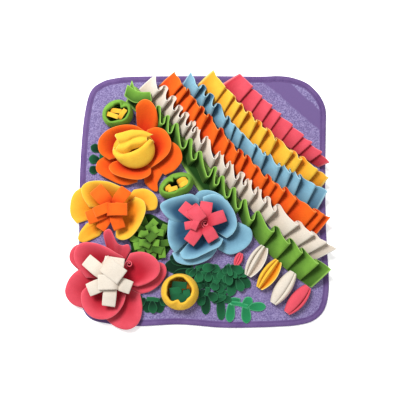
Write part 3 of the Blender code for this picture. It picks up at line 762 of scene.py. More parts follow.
class Dresser:
    """Sews pieces, hands them to the frame and reports them."""

    def __init__(self) -> None:
        """Start with nothing made."""
        self.made = 0

    def add(self, name: str, node: str, cuts: Sequence[Cut], thick: float, finish: ClothFinish, held: Held,
            under: str = "", rounding: int = 1) -> None:
        """Sew a piece, hide the node that it stands for and log what cloth it is.

        Args:
            name: the piece's name.
            node: the frame's node that it replaces.
            cuts: the sheets that it is made from.
            thick: the cloth's thickness.
            finish: its look.
            held: how the cloth is held; not used.
            under: the piece that it lies on; not used.
            rounding: levels of subdivision.
        """
        body = CuttingTable.sew(name, cuts, thick, finish, rounding)
        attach(body, "root")
        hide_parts(node)
        reaches = [cut.reach() for cut in cuts]
        area = sum(cut.area() for cut in cuts) * MM * MM
        self.report(body, finish)

    def add_thread(self, body: Body, finish: ClothFinish) -> None:
        """Let a line of thread ride on the mat; it stands for no node.

        Args:
            body: the finished thread.
            finish: its look.
        """
        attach(body, "root")
        self.report(body, finish)

    def report(self, body: Body, finish: ClothFinish) -> None:
        """Count a piece and log it."""
        self.made += 1
        LOG.info("%s: %d faces in %s", body.name, len(body.data.polygons), finish.name)


# ---- base and binding ---------------------------------------------------------
@dataclass(frozen=True)
class BoundBase:
    """The fleece base, the tape folded round its edge and the tape's stitches.

    `tape_section` holds points of the tape's middle surface as distance inside
    the mat's edge and height, from its lower edge round to its upper one.
    """
    fleece_thick: float = 3.9
    fleece_middle: float = 2.15
    fleece_swell: float = 0.25
    tape_thick: float = 1.15
    tape_section: tuple[Spot, ...] = (
        (12.0, 0.62), (6.0, 0.6), (1.4, 0.7), (0.6, 2.2), (1.4, 3.9), (4.0, 4.3), (7.4, 4.2), (9.2, 3.55),
        (10.6, 3.95), (12.0, 3.6))
    tape_top: float = 3.0
    pucker: float = 0.16
    puckers: int = 110
    groove_half: float = 1.6
    stitch_inset: float = 9.2
    stitch_pitch: float = 3.8
    stitch_length: float = 2.7
    stitch_top: float = 4.15
    thread: float = 0.42

    def outline(self, inset: float, steps: int = 8) -> np.ndarray:
        """The mat's outline, `inset` mm inside its edge.

        Args:
            inset: distance inside the edge.
            steps: points for each stretch between two points of the edge.

        Returns:
            The closed line's points, the first one repeated at the end.
        """
        line = rounded_spans(np.array((MAT_EDGE[-1], *MAT_EDGE, *MAT_EDGE[:2]), dtype=float), steps)
        ahead = np.roll(line, -2, axis=0) - np.roll(line, 2, axis=0)
        ahead /= np.linalg.norm(ahead, axis=1, keepdims=True)
        line = line + np.column_stack([-ahead[:, 1], ahead[:, 0]]) * inset
        return np.vstack([line, line[:1]])

    def fleece_cut(self) -> Cut:
        """The fleece sheet, from its middle to under the tape, where it is pressed a little.

        Returns:
            The cut sheet.
        """
        edge = self.outline(2.0)
        shares = np.concatenate([np.linspace(0, 0.9, 22), [0.93, 0.96, 0.98, 1.0]])
        rows = []
        for share in shares:
            x, y = edge[:, 0] * share, edge[:, 1] * share
            swell = self.fleece_swell * np.sin(x * 0.035 + 1.0) * np.sin(y * 0.03) * share ** 2
            press = 0.0675 * np.clip((share - 0.9) / 0.06, 0, 1) ** 2
            rows.append(np.column_stack([x, y, self.fleece_middle + swell - press]))
        return Cut(np.array(rows), 1.0, closed=True, rim=np.zeros((len(shares), len(edge))))

    def tape_cut(self) -> Cut:
        """The tape, puckered on top, with painted shade along the groove of its stitches.

        Returns:
            The cut tape.
        """
        section = smooth_line(self.tape_section, 15)
        on_top = section[:, 1] > self.tape_top
        rows = []
        for (inset, height), puckered in zip(section, on_top):
            line = self.outline(inset)
            run = arc_lengths(line)
            pucker = self.pucker * np.sin(run / run[-1] * math.tau * self.puckers) * puckered
            rows.append(np.column_stack([line, height + pucker]))
        # The depth tone is 0 in the stitched groove, where shade is painted.
        away = np.abs(section[:, 0] - self.stitch_inset) / self.groove_half
        depth = np.where(on_top, np.clip(away, 0, 1), 1.0)
        return Cut(np.array(rows), depth[:, None], closed=True)

    def stitch_shape(self) -> tuple[np.ndarray, list[list[int]]]:
        """Model one stitch.

        Returns:
            Its points in mm, lying along z, and its faces.
        """
        CuttingTable.deselect()
        bpy.ops.mesh.primitive_cylinder_add(vertices=6, radius=self.thread * MM,
                                            depth=self.stitch_length * MM)
        pattern = bpy.context.active_object
        bpy.ops.object.mode_set(mode="EDIT")
        bpy.ops.mesh.bevel(offset=0.18 * MM, segments=1, affect="EDGES")
        bpy.ops.object.mode_set(mode="OBJECT")
        points = np.array([v.co[:] for v in pattern.data.vertices]) / MM
        faces = [list(face.vertices) for face in pattern.data.polygons]
        bpy.data.objects.remove(pattern, do_unlink=True)
        return points, faces

    def stitches(self) -> Body:
        """A row of thread stitches along the tape, as one mesh of copies.

        Returns:
            The finished thread.
        """
        points, faces = self.stitch_shape()
        side, up, along = points.T
        top = self.stitch_top - 0.14 * (along / 1.2) ** 2 + up
        line = self.outline(self.stitch_inset)
        run = arc_lengths(line)
        count = int(run[-1] / self.stitch_pitch)
        verts, polygons = [], []
        for spot in (np.arange(count) + 0.5) * run[-1] / count:
            here, there = (np.array([np.interp(place, run, line[:, k]) for k in (0, 1)])
                           for place in (spot, spot + 1.0))
            ahead = (there - here) / np.linalg.norm(there - here)
            polygons += [[i + len(verts) * len(points) for i in face] for face in faces]
            verts.append(np.column_stack([here[0] + ahead[0] * along - ahead[1] * side,
                                          here[1] + ahead[1] * along + ahead[0] * side, top]))
        mesh = bpy.data.meshes.new("tape_stitches")
        mesh.from_pydata((np.vstack(verts) * MM).tolist(), [], polygons)
        body = bpy.data.objects.new("tape_stitches", mesh)
        bpy.context.scene.collection.objects.link(body)
        return CuttingTable.join("tape_stitches", [body], THREAD)

    def build(self, dresser: Dresser) -> None:
        """Make the base, its tape and the stitches.

        Args:
            dresser: takes the finished pieces.
        """
        dresser.add("fleece_base", "mat_base", [self.fleece_cut()], self.fleece_thick, FLEECE, Held.LAID,
                    rounding=0)
        dresser.add("edge_tape", "mat_binding", [self.tape_cut()], self.tape_thick, TAPE, Held.FOLDED,
                    "fleece_base")
        dresser.add_thread(self.stitches(), THREAD)


# ---- pleated rows -------------------------------------------------------------
class Fold(NamedTuple):
    """A fold seen end on, as a circle that the cloth turns round; turn is +1 or -1."""
    place: float
    height: float
    radius: float
    turn: int


def pleat_path(folds: Sequence[Fold], belly: float, arc_points: int = 7, between: int = 4) -> np.ndarray:
    """Follow a taut strip round a row of folds.

    Args:
        folds: the folds in order; the first and the last have no radius.
        belly: how far each panel bows out of its plane.
        arc_points: points round each fold.
        between: points on each panel between two folds.

    Returns:
        Rows of (place, height, crest), where crest is 1 on an outer fold's top, where a highlight is
        painted.
    """
    headings = []
    for here, there in zip(folds, folds[1:]):
        ahead, up = there.place - here.place, there.height - here.height
        pull = (there.turn * there.radius - here.turn * here.radius) / math.hypot(ahead, up)
        headings.append(math.atan2(up, ahead) - math.asin(max(-0.999, min(0.999, pull))))
    arcs = []
    for k, fold in enumerate(folds):
        if fold.radius == 0:
            angles = [headings[0] if k == 0 else headings[-1]]
        else:
            first, last = headings[k - 1], headings[k]
            sweep = (last - first) * fold.turn % (2 * math.pi)
            angles = [first + fold.turn * sweep * s / (arc_points - 1) for s in range(arc_points)]
        crest = [math.sin(math.pi * (s + 0.5) / len(angles)) if fold.turn < 0 else 0.0
                 for s in range(len(angles))]
        reach = fold.turn * fold.radius
        arcs.append([(fold.place + reach * math.sin(a), fold.height - reach * math.cos(a), c)
                     for a, c in zip(angles, crest)])
    rows = list(arcs[0])
    for before, after in zip(arcs, arcs[1:]):
        (ax, am, _), (bx, bm, _) = before[-1], after[0]
        size = max(math.hypot(bx - ax, bm - am), 1e-6)
        nx, nm = -(bm - am) / size, (bx - ax) / size
        for s in np.arange(1, between + 1) / (between + 1):
            bow = belly * math.sin(math.pi * s) * min(size / 20, 1)
            rows.append((ax + (bx - ax) * s + nx * bow, am + (bm - am) * s + nm * bow, 0.0))
        rows.extend(after)
    return np.array(rows)


@dataclass(frozen=True)
class Pleats:
    """How a stretch of a row is pleated.

    `back` is how far each fold runs back under the last, as a share of its
    pitch; `crest` the outer folds' radius and `hollow` the widest inner fold's
    radius, both at the free edge; `swing` is half the pleats' depth there and
    `foot` at the sewn edge.  `upright` says how far the strip stands on its
    sewn edge instead of lying, 0 to 1, `flare` how far the closed folds reach
    past the row's line and `belly` how far the panels bow.
    """
    back: float = 0.36
    crest: float = 1.6
    hollow: float = 5.6
    swing: float = 5.0
    foot: float = 2.15
    upright: float = 0.0
    flare: float = 2.2
    belly: float = 1.0

    def blend(self, other: "Pleats", share: float) -> "Pleats":
        """Mix with another stretch's pleats; share 0 gives these, 1 the other's."""
        mine, theirs = asdict(self), asdict(other)
        return Pleats(**{key: mine[key] + (theirs[key] - mine[key]) * share for key in mine})


class RowPlan:
    """What all levels of a row share: its length, its pleats along it and its chance."""

    def __init__(self, row: "PleatedRow") -> None:
        """Measure a row and draw its chance: its folds' whims, its swell and its ragged edge.

        Args:
            row: the row.
        """
        self.shares = np.linspace(0, 1, 401)
        self.run = arc_lengths((bezier(row.base, self.shares) + bezier(row.free, self.shares)) / 2)
        self.length = float(self.run[-1])
        chance = np.random.default_rng(row.seed)
        self.whims = chance.uniform(-1, 1, (len(row.pitches), 3)) * row.WHIMS * row.unrest
        self.swell = chance.uniform(-1, 1, 64) * row.SWELL * row.unrest
        self.ragged = chance.uniform(-1, 1, 56) * row.RAGGED * row.unrest
        pitch_sum = sum(row.pitches) + row.pitches[-1] * row.END_ROOM
        self.places = np.cumsum(row.pitches) * self.length / pitch_sum
        styles = [row.style(share) for share in np.linspace(0, 1, 41)]
        self.upright = np.array([style.upright for style in styles])
        self.flare = np.array([style.flare for style in styles])

    def at(self, place: np.ndarray, values: np.ndarray) -> np.ndarray:
        """Read values that are spread evenly along the row at some places on it."""
        return np.interp(place / self.length, np.linspace(0, 1, len(values)), values)


@dataclass(frozen=True)
class PleatedRow:
    """One pleated strip, sewn along `base`, its free edge along `free`.

    Both edges are cubic curves with four control points.  `pitches` are the
    distances between outer folds and `gape` says how far each fold opens at the
    free edge, 0 to 1.  The pleats pass from `upper` to `lower` over the stretch
    `change` of the row, in shares of its length.  `rise` is the free edge's
    height over the sewn one and `unrest` how much of the chance that `seed`
    picks shows.  A row may have a flat `hem`, which reaches this far under it,
    and a `panel`: its end, turned over flat, with three points of its outer edge
    and three of its inner one.
    """
    # How much chance there is: in each fold's slide, fullness and depth, then in the free edge's height
    # and in its line; slide, height and line are mm.
    WHIMS = (1.3, 0.22, 0.14)
    SWELL = 1.3
    RAGGED = 1.2
    # Room after the last fold, as a share of its pitch.
    END_ROOM = 0.9
    # What a fully open fold adds: to its depth, to its roundness, and how far it runs ahead.
    OPEN_DEPTH, OPEN_ROUND, OPEN_AHEAD = 2.4, 1.5, 3.6
    # The longest pitch that counts for a fold's run back, and the longest run.
    LONG_PITCH, LONG_BACK = 26, 9.5
    # As shares of a row's width: how much further back a lying one is sewn, where an upright one stands
    # and how much narrower it is seen from above.
    SEWN_BACK, STAND_AT, STAND_NARROW = 0.15, 0.12, 0.42
    # How high the sewn edge of a lying row is over that of an upright one.
    LAP = 3.15

    name: str
    finish: ClothFinish
    base: tuple[Spot, ...]
    free: tuple[Spot, ...]
    pitches: tuple[float, ...]
    gape: tuple[float, ...]
    upper: Pleats = Pleats()
    lower: Pleats = Pleats()
    change: tuple[float, float] = (0.5, 0.7)
    rise: float = 20.0
    seed: int = 1
    unrest: float = 1.0
    hem: float = 0.0
    panel: tuple[Point, ...] = ()
    levels: tuple[float, ...] = (0.0, 0.04, 0.12, 0.24, 0.38, 0.52, 0.66, 0.78, 0.88, 0.95, 1.0)

    def style(self, share: float) -> Pleats:
        """The pleats at a share of the row's length.

        Args:
            share: 0 at the row's upper end, 1 at its lower end.

        Returns:
            The mixed pleats.
        """
        start, end = self.change
        t = min(max((share - start) / (end - start), 0.0), 1.0)
        return self.upper.blend(self.lower, t * t * (3 - 2 * t))

    def folds(self, level: float, plan: RowPlan) -> list[Fold]:
        """The folds at one level between the sewn edge and the free edge.

        Args:
            level: 0 at the sewn edge, 1 at the free edge.
            plan: what all levels share.

        Returns:
            The folds for pleat_path.
        """
        first = self.style(0.0)
        made = [Fold(0.0, -first.foot - (first.swing - first.foot) * level, 0.0, 1)]
        for i, (x, (slide, full, deep)) in enumerate(zip(plan.places, plan.whims)):
            style = self.style(x / plan.length)
            lying = 1 - style.upright
            pitch = self.pitches[min(i + 1, len(self.pitches) - 1)]
            tight = (ROW_FELT / 2 + 0.25) * lying + style.crest * 0.7 * style.upright
            swing = (style.foot + (style.swing - style.foot) * level) * (1 + deep * level)
            swing += self.OPEN_DEPTH * self.gape[i] * level * lying
            gape = self.gape[i] ** 0.7
            opening = gape * level ** 1.4
            back = min(style.back * min(pitch, self.LONG_PITCH), self.LONG_BACK) * (1 - opening)
            back -= self.OPEN_AHEAD * opening * lying
            crest = tight + (style.crest + self.OPEN_ROUND * gape * lying - tight) * level * (1 + full)
            hollow = tight + (style.crest + (style.hollow - style.crest) * gape - tight) * level
            place = x + slide * level
            made.append(Fold(place, swing, crest, -1))
            made.append(Fold(place - back, -swing, min(hollow, swing * 2 - crest - 0.3), 1))
        made.append(Fold(plan.length, 0.0, 0.0, 1))
        return made

    def edges(self, u: np.ndarray, level: float) -> tuple[np.ndarray, np.ndarray, np.ndarray]:
        """The row's two edges, and the way that it runs.

        Args:
            u: where on the edges' curves, 0 to 1.
            level: 0 at the sewn edge, 1 at the free edge.

        Returns:
            Points of the sewn edge and of the free edge, and unit vectors.
        """
        after, before = np.minimum(u + 0.01, 1), np.maximum(u - 0.01, 0)
        ahead = ((bezier(self.base, after) - bezier(self.base, before)) * (1 - level)
                 + (bezier(self.free, after) - bezier(self.free, before)) * level)
        ahead /= np.linalg.norm(ahead, axis=1, keepdims=True)
        return bezier(self.base, u), bezier(self.free, u), ahead

    def level_line(self, level: float, plan: RowPlan) -> tuple[np.ndarray, np.ndarray, np.ndarray]:
        """The strip at one level.

        Args:
            level: 0 at the sewn edge, 1 at the free edge.
            plan: what all levels share.

        Returns:
            The points, their painted shade tones and the painted highlight on the outer folds' tops.
        """
        path = pleat_path(self.folds(level, plan), self.style(0.5).belly * level)
        x, m = path[:, 0], path[:, 1]
        top = max(abs(m).max(), 1e-6)
        inside = np.clip(x, 0, plan.length)
        stand = plan.at(inside, plan.upright)
        closed = (1 - np.interp(inside, plan.places, self.gape)) * (1 - stand) * level
        low, high, along = self.edges(np.interp(inside, plan.run, plan.shares), level)
        low = low - (high - low) * (self.SEWN_BACK * (1 - stand))[:, None]
        across = level * (1 - self.STAND_NARROW * stand) + self.STAND_AT * stand
        plan_line = low + (high - low) * across[:, None] + along * (x - inside)[:, None]
        away = np.column_stack([along[:, 1], -along[:, 0]])
        reach = np.abs(np.sum((high - low) * away, axis=1))
        lean = np.arctan2(self.rise, np.maximum(reach, 4.0)) * min(1.0, level * 1.5)
        lean = lean + (math.pi / 2 - lean) * stand
        push = m * np.sin(lean) * (1 - closed) - plan.at(inside, plan.flare) * closed * m / top
        push = push + plan.at(x, plan.ragged) * level ** 2
        bend = level + 0.10 * math.sin(level * math.pi)
        height = SEAT + self.LAP * (1 - stand) + ROW_FELT / 2 + self.rise * bend
        height = height + m * np.cos(lean) + plan.at(x, plan.swell) * level ** 2
        # Painted shade: darker down in the folds' hollows and towards the sewn edge.
        tone = np.clip(0.10 + 0.9 * (m / top + 1) / 2, 0, 1) * (0.5 + 0.5 * level)
        # An upright stretch is painted in shade but for its top edge; the outer folds' tops get a painted
        # highlight.
        return (np.column_stack([plan_line + away * push[:, None], height]),
                tone * (1 - stand) + level ** 3 * stand,
                path[:, 2] * 0.4 * min(1.0, level * 2) * (1 - stand))

    def strip_cut(self) -> Cut:
        """The pleated strip's points and tones.

        Returns:
            The cut strip.
        """
        plan = RowPlan(self)
        grid, depth, crest_highlights = (np.array(rows) for rows in
                               zip(*(self.level_line(level, plan) for level in self.levels)))
        # The rim tone paints a highlight on the cut edges and on the outer folds' tops.
        return Cut(grid, depth, rim=np.maximum(edge_nearness(grid, 1.9), crest_highlights))

    def hem_cut(self) -> Cut:
        """The flat hem that the strip is sewn down by, painted wholly in the deep shaded tone to stand for
        the shade by the rows' feet; it bulges near the row's middle.

        Returns:
            The cut hem.
        """
        along = np.linspace(0.01, 0.60, 50)
        low, high = bezier(self.base, along), bezier(self.free, along)
        ahead = (high - low) / np.linalg.norm(high - low, axis=1, keepdims=True)
        bulge = 8.0 + 13.0 * np.exp(-((along - 0.47) / 0.12) ** 2)
        rows = [np.column_stack([low + ahead * step[:, None], np.full(len(low), SEAT + 0.5)])
                for step in (-bulge, -bulge * 0.3, np.full_like(bulge, self.hem))]
        # Depth 0: the whole hem is painted in shade.
        return Cut(np.array(rows), 0.0)

    def panel_cut(self) -> Cut:
        """The row's end, turned over flat on top of its first folds.

        Returns:
            The cut panel.
        """
        share = np.linspace(0, 1, 7)[:, None, None]
        low, high = smooth_line(self.panel[:3], 16), smooth_line(self.panel[3:], 16)
        grid = low[None] * (1 - share) + high[None] * share
        grid[:, :, 2] += 0.9 * np.sin(grid[:, :, 0] * 0.16) + 1.6 * np.sin(share[:, :, 0] * math.pi)
        # Painted shade over the panel, darkest along its outer edge.
        return Cut(grid, 0.22 + 0.38 * share[:, :, 0])

    def build(self, dresser: Dresser) -> None:
        """Make the row.

        Args:
            dresser: takes the finished piece.
        """
        cuts = [self.strip_cut()]
        if self.hem:
            cuts.append(self.hem_cut())
        if self.panel:
            cuts.append(self.panel_cut())
        dresser.add(f"felt_row_{self.name}", f"ruffle_{self.name}", cuts, ROW_FELT, self.finish,
                    Held.GATHERED, "fleece_base")


ROWS = (
    PleatedRow(
        "coral", CORAL, base=((36, 212), (91, 141), (147, 101), (208, 62)),
        free=((64, 224), (101, 172), (165, 124), (222, 66)), pitches=(38, 26, 24, 20, 27, 24, 18, 24),
        gape=(0.1, 0, 0.1, 0, 0, 0.15, 0.1, 0), seed=11, unrest=0.8),
    PleatedRow(
        "yellow", YELLOW, base=((-8, 212), (56, 131), (115, 54), (210, 25)),
        free=((16, 229), (63, 158), (138, 95), (220, 40)), pitches=(44, 24, 19, 20, 27, 23, 26, 33, 24, 32),
        gape=(0.3, 0.6, 0.8, 1.0, 1.0, 0.9, 1.0, 0.8, 1.0, 0.4), seed=12, unrest=1.6),
    PleatedRow(
        "blue", BLUE, base=((-40, 206), (35, 133), (105, 30), (205, -11)),
        free=((-24, 226), (40, 139), (107, 65), (218, 16)),
        pitches=(28, 20, 20, 26, 20, 17, 28, 21, 29, 20, 19, 25),
        gape=(1.0, 1.0, 1.0, 0.8, 0.4, 0.5, 0.7, 0.9, 1.0, 1.0, 1.0, 0.3), seed=13, unrest=1.6),
    PleatedRow(
        "orange", ORANGE, base=((-77, 210), (-1, 93), (98, 15), (200, -60)),
        free=((-52, 226), (11, 136), (99, 30), (223, -30)),
        pitches=(29, 15, 20, 22, 20, 33, 26, 24, 18, 24, 25, 19, 20, 25, 41, 15),
        gape=(0.5, 0.8, 0.5, 0.9, 1.0, 1.0, 0.7, 1.0, 1.0, 0.7, 1.0, 0.6, 1.0, 0.8, 0.9, 0.4), seed=14,
        unrest=1.6),
    PleatedRow(
        "cream", CREAM, base=((-116, 202), (-4, 94), (79, -33), (204, -102)),
        free=((-84, 222), (-11, 107), (98, 2), (234, -86)),
        pitches=(28, 26, 20, 16, 21, 14, 25, 35, 26, 27, 18, 23, 23, 22, 43, 32, 25),
        gape=(1.0, 1.0, 0.9, 0.9, 1.0, 0.8, 1.0, 1.0, 0.9, 1.0, 1.0, 1.0, 0.9, 1.0, 0.9, 0.8, 0.4),
        upper=Pleats(back=0.2, crest=2.2, hollow=5.6, swing=6.4, foot=3.0, upright=0.35, belly=1.8),
        lower=Pleats(belly=1.2), change=(0.68, 0.88), seed=15),
    PleatedRow(
        "green", GREEN, base=((-140, 188), (-30, 96), (66, -66), (197, -150)),
        free=((-127, 214), (-2, 95), (70, -29), (224, -122)),
        pitches=(36, 31, 22, 21, 38, 26, 41, 21, 30, 28, 33, 40, 34, 28, 32),
        gape=(1.0, 1.0, 1.0, 1.0, 1.0, 1.0, 1.0, 1.0, 1.0, 1.0, 1.0, 1.0, 1.0, 1.0, 0.8),
        upper=Pleats(back=0.12, crest=3.6, hollow=3.8, swing=7.0, foot=4.8, upright=1.0, belly=0.6),
        lower=Pleats(back=0.3, swing=6.0, crest=2.4, belly=1.4), change=(0.56, 0.8), rise=21.0, seed=16,
        hem=28.0,
        panel=(
            (-140, 184, 22), (-120, 171, 25), (-90, 173, 27), (-134, 205, 22), (-113, 191, 26),
            (-93, 190, 28))))


# ---- flowers ------------------------------------------------------------------
@dataclass(frozen=True)
class Petal:
    """A petal given by its rim, from one side round its tip to the other.

    Each rim point is (azimuth, reach, height over the floor) from the flower's
    centre.  `hollow` holds the petal's middle low, `root` is how far
    from the centre it is sewn down, `lip` how far its rim rolls over.
    """
    # Share of the petal's spread that is left where it is gathered at its root.
    GATHER = 0.7
    RIPPLE, FINE_RIPPLE, CREASE = 0.5, 0.35, 0.9
    LIP_WIDE = 6.0

    rim: tuple[Point, ...]
    hollow: float = 1.7
    root: float = 8.0
    lip: float = 1.4

    def unevenness(self, side: np.ndarray, v: float, phase: float) -> np.ndarray:
        """Ripples towards the rim, less one soft crease.

        Args:
            side: places across the petal, -1 to 1.
            v: 0 at the root, 1 at the rim.
            phase: where the ripples start.

        Returns:
            Heights in mm.
        """
        ripple = self.RIPPLE * np.sin(side * 5.2 + phase) * v ** 3
        ripple = ripple + self.FINE_RIPPLE * np.sin(side * 9.5 + phase * 2 + v * 2) * v ** 2
        crease = self.CREASE * np.exp(-((side - 0.3 * math.sin(phase)) / 0.16) ** 2) * math.sin(math.pi * v)
        return ripple - crease

    def cut(self, centre: Spot, height: float, across: int = 31, along: int = 19) -> Cut:
        """The petal's points and tones.

        Args:
            centre: the flower's centre.
            height: height of the petal's root.
            across: points along the rim.
            along: points from root to rim.

        Returns:
            The cut petal.
        """
        azimuth, reach, tops = np.array(self.rim, dtype=float).T
        azimuth = np.radians(azimuth)
        rim = smooth_line(np.column_stack([reach * np.cos(azimuth), reach * np.sin(azimuth), tops]), across)
        sweep = np.linspace(azimuth[0], azimuth[-1], across)
        sweep = sweep.mean() + (sweep - sweep.mean()) * self.GATHER
        foot = np.column_stack([self.root * np.cos(sweep), self.root * np.sin(sweep)])
        side = np.linspace(-1, 1, across)
        shares = 1 - (1 - np.linspace(0, 1, along)) ** 1.3
        rows = []
        for v in shares:
            rise = 1 - (1 - v ** (self.hollow + 0.9)) ** 1.5
            lift = height + (rim[:, 2] - height) * rise + self.unevenness(side, v, float(azimuth[0]) * 3)
            rows.append(np.column_stack([foot + (rim[:, :2] - foot) * v + centre, lift]))
        grid = np.array(rows)
        near = edge_nearness(grid, self.LIP_WIDE) * (shares[:, None] > 0.2)
        grid[:, :, 2] -= self.lip * near ** 2
        # Painted shade, darkest towards the root and lighter out to the rim and at the sides.
        return Cut(grid, np.clip((shares[:, None] - 0.34) * 1.15 + 0.10 * side ** 2, 0, 1))


@dataclass(frozen=True)
class Tab:
    """A flat strip from a flower's centre out to (x, y), `top` mm above its root."""
    x: float
    y: float
    width: float
    top: float = 24.0
    droop: float = 0.88

    def cut(self, centre: Spot, height: float) -> Cut:
        """The strip's points and tones.

        Args:
            centre: the flower's centre.
            height: height of the strip's root.

        Returns:
            The cut strip.
        """
        reach = math.hypot(self.x, self.y)
        # Share of the reach, share of the top and share of the width.
        stops = ((0.03, 0.0, 0.5), (0.10, 0.45, 0.66), (0.22, 0.86, 0.86), (0.5, 1.03, 1.0),
                 (0.78, 0.42 + self.droop / 2, 1.0), (1.0, self.droop - 0.14, 0.97))
        line = smooth_line([(out * reach, self.top * lift, wide) for out, lift, wide in stops], 14)
        bow = 1.8 * np.minimum(1.0, 1.4 * line[:, 0:1] / reach)
        line = line * (1, 1, self.width) + (0, height, 0)
        grid = strip_grid(centre, (self.x / reach, self.y / reach), line, bow, 7)
        # Painted shade at the strip's root, and a highlight painted at half strength on its cut edge.
        depth = np.clip(np.linspace(-0.35, 1.05, len(grid)), 0, 1)[:, None]
        return Cut(grid, depth, rim=edge_nearness(grid) * 0.55)


@dataclass(frozen=True)
class Rosette:
    """A short strip rolled up on its edge, at (x, y) from the flower's centre."""
    x: float
    y: float
    foot: float
    height: float
    radius: float
    turns: float = 2.2
    start: float = 20.0
    core: float = 1.4

    def cut(self, centre: Spot, along: int = 56) -> Cut:
        """The roll's points and tones.

        Args:
            centre: the flower's centre.
            along: points along the strip.

        Returns:
            The cut roll.
        """
        share = np.linspace(0, 1, along)
        turn = math.radians(self.start) + share * self.turns * math.tau
        radius = self.core + (self.radius - self.core) * share ** 0.9
        rows = []
        for up in (0.0, 0.3, 0.6, 0.85, 1.0):
            flared = radius * (1 + 0.10 * up ** 2)
            rows.append(np.column_stack([centre[0] + self.x + flared * np.cos(turn),
                                         centre[1] + self.y + flared * np.sin(turn),
                                         self.foot + self.height * up * (1 - 0.22 * share ** 2)]))
        grid = np.array(rows)
        # Painted shade low in the roll, and a highlight painted at half strength on its cut edge.
        return Cut(grid, np.array([0.0, 0.0, 0.05, 0.3, 0.8])[:, None], rim=edge_nearness(grid) * 0.5)


@dataclass(frozen=True)
class Strip:
    """A felt strip that stands on its foot and lies over towards its end."""
    foot: Spot
    end: Spot
    width: float
    low: float
    high: float

    def moved(self, x: float, y: float) -> "Strip":
        """The same strip moved by (x, y)."""
        foot, end = ((spot[0] + x, spot[1] + y) for spot in (self.foot, self.end))
        return replace(self, foot=foot, end=end)

    def cut(self, steep: float) -> Cut:
        """The strip's points and tones.

        Args:
            steep: share of the run at which the strip has risen.

        Returns:
            The cut strip.
        """
        x, y = self.end[0] - self.foot[0], self.end[1] - self.foot[1]
        run = math.hypot(x, y)
        # Share of the run and share of the rise.
        stops = ((0.0, 0.0), (steep * 0.6, 0.55), (steep * 1.4, 0.9), (0.5, 1.0), (1.0, 0.92))
        line = smooth_line([(out * run, (self.high - self.low) * lift) for out, lift in stops], 11)
        line = np.column_stack([line[:, 0], self.low + line[:, 1], np.full(len(line), self.width)])
        grid = strip_grid(self.foot, (x / run, y / run), line, 0.3, 6)
        # Painted shade at the strip's foot, and a highlight painted at half strength on its cut edge.
        depth = np.clip(np.linspace(-0.1, 1.3, len(grid)), 0, 1)[:, None]
        return Cut(grid, depth, rim=edge_nearness(grid) * 0.55)


class Layer(Enum):
    """The two layers of a flower's petals."""
    OUTER = "outer"
    INNER = "inner"


@dataclass(frozen=True)
class FeltFlower:
    """Two layers of petals round a centre of strips.

    `tabs` lie out from the centre and `bridges` across it, both of the tab
    finish; `petal_rolls` are of the petals' felt and `tab_rolls` of the tabs'.
    `gloom` says how far the inner layer's painted shade spreads out from its middle.
    """
    FOOT = SEAT + FELT / 2
    OUTER_ROOT, INNER_ROOT, TAB_ROOT = 17.0, 12.5, 7.0
    # The outer layer's painted tones are scaled by this, so that it is painted in shade under the inner
    # layer.
    OUTER_LIGHT = 0.82
    # Each petal and each tab is sewn this much above the last.
    PETAL_STEP, TAB_STEP = 0.11, 0.06

    name: str
    centre: Spot
    finish: ClothFinish
    outer: tuple[Petal, ...]
    inner: tuple[Petal, ...]
    tab_finish: ClothFinish = CREAM
    tabs: tuple[Tab, ...] = ()
    petal_rolls: tuple[Rosette, ...] = ()
    tab_rolls: tuple[Rosette, ...] = ()
    bridges: tuple[Strip, ...] = ()
    gloom: float = 0.3

    def on_disc(self, pieces: Sequence[Petal | Tab], radius: float, height: float, step: float) -> list[Cut]:
        """A round root and what is sewn to it.

        Args:
            pieces: petals or tabs.
            radius: the root's radius.
            height: its height.
            step: how much higher each piece is than the last.

        Returns:
            The cuts, the root first.
        """
        root = round_patch(self.centre, (0.0, radius / 2, radius - 1, radius), height, 25)
        return [root] + [piece.cut(self.centre, height + step * n) for n, piece in enumerate(pieces)]

    def add_layer(self, dresser: Dresser, layer: Layer, cuts: Sequence[Cut], under: str) -> None:
        """Make one layer of petals, which lies on the piece `under`."""
        dresser.add(f"petals_{self.name}_{layer.value}", f"flower_{self.name}_{layer.value}", cuts, FELT,
                    self.finish, Held.GATHERED, under)

    def build(self, dresser: Dresser) -> None:
        """Make both layers and the centre.

        Args:
            dresser: takes the finished pieces.
        """
        cuts = self.on_disc(self.outer, self.OUTER_ROOT, self.FOOT, self.PETAL_STEP)
        self.add_layer(dresser, Layer.OUTER, [cut.toned(self.OUTER_LIGHT) for cut in cuts], "fleece_base")
        cuts = self.on_disc(self.inner, self.INNER_ROOT, self.FOOT + LAYER_STEP, self.PETAL_STEP)
        # Painted shade spreads out from the inner layer's middle.
        cuts = [replace(cut, depth=np.clip(cut.depth * (1 + self.gloom) - self.gloom, 0, 1)) for cut in cuts]
        cuts += [roll.cut(self.centre) for roll in self.petal_rolls]
        self.add_layer(dresser, Layer.INNER, cuts, f"petals_{self.name}_outer")
        if self.tabs:
            cuts = self.on_disc(self.tabs, self.TAB_ROOT, self.FOOT + 2 * LAYER_STEP, self.TAB_STEP)
            cuts += [roll.cut(self.centre) for roll in self.tab_rolls]
            cuts += [strip.moved(*self.centre).cut(steep=0.14) for strip in self.bridges]
            dresser.add(f"strips_{self.name}", f"flower_{self.name}_tabs", cuts, STRIP_FELT, self.tab_finish,
                        Held.GATHERED, f"petals_{self.name}_inner")


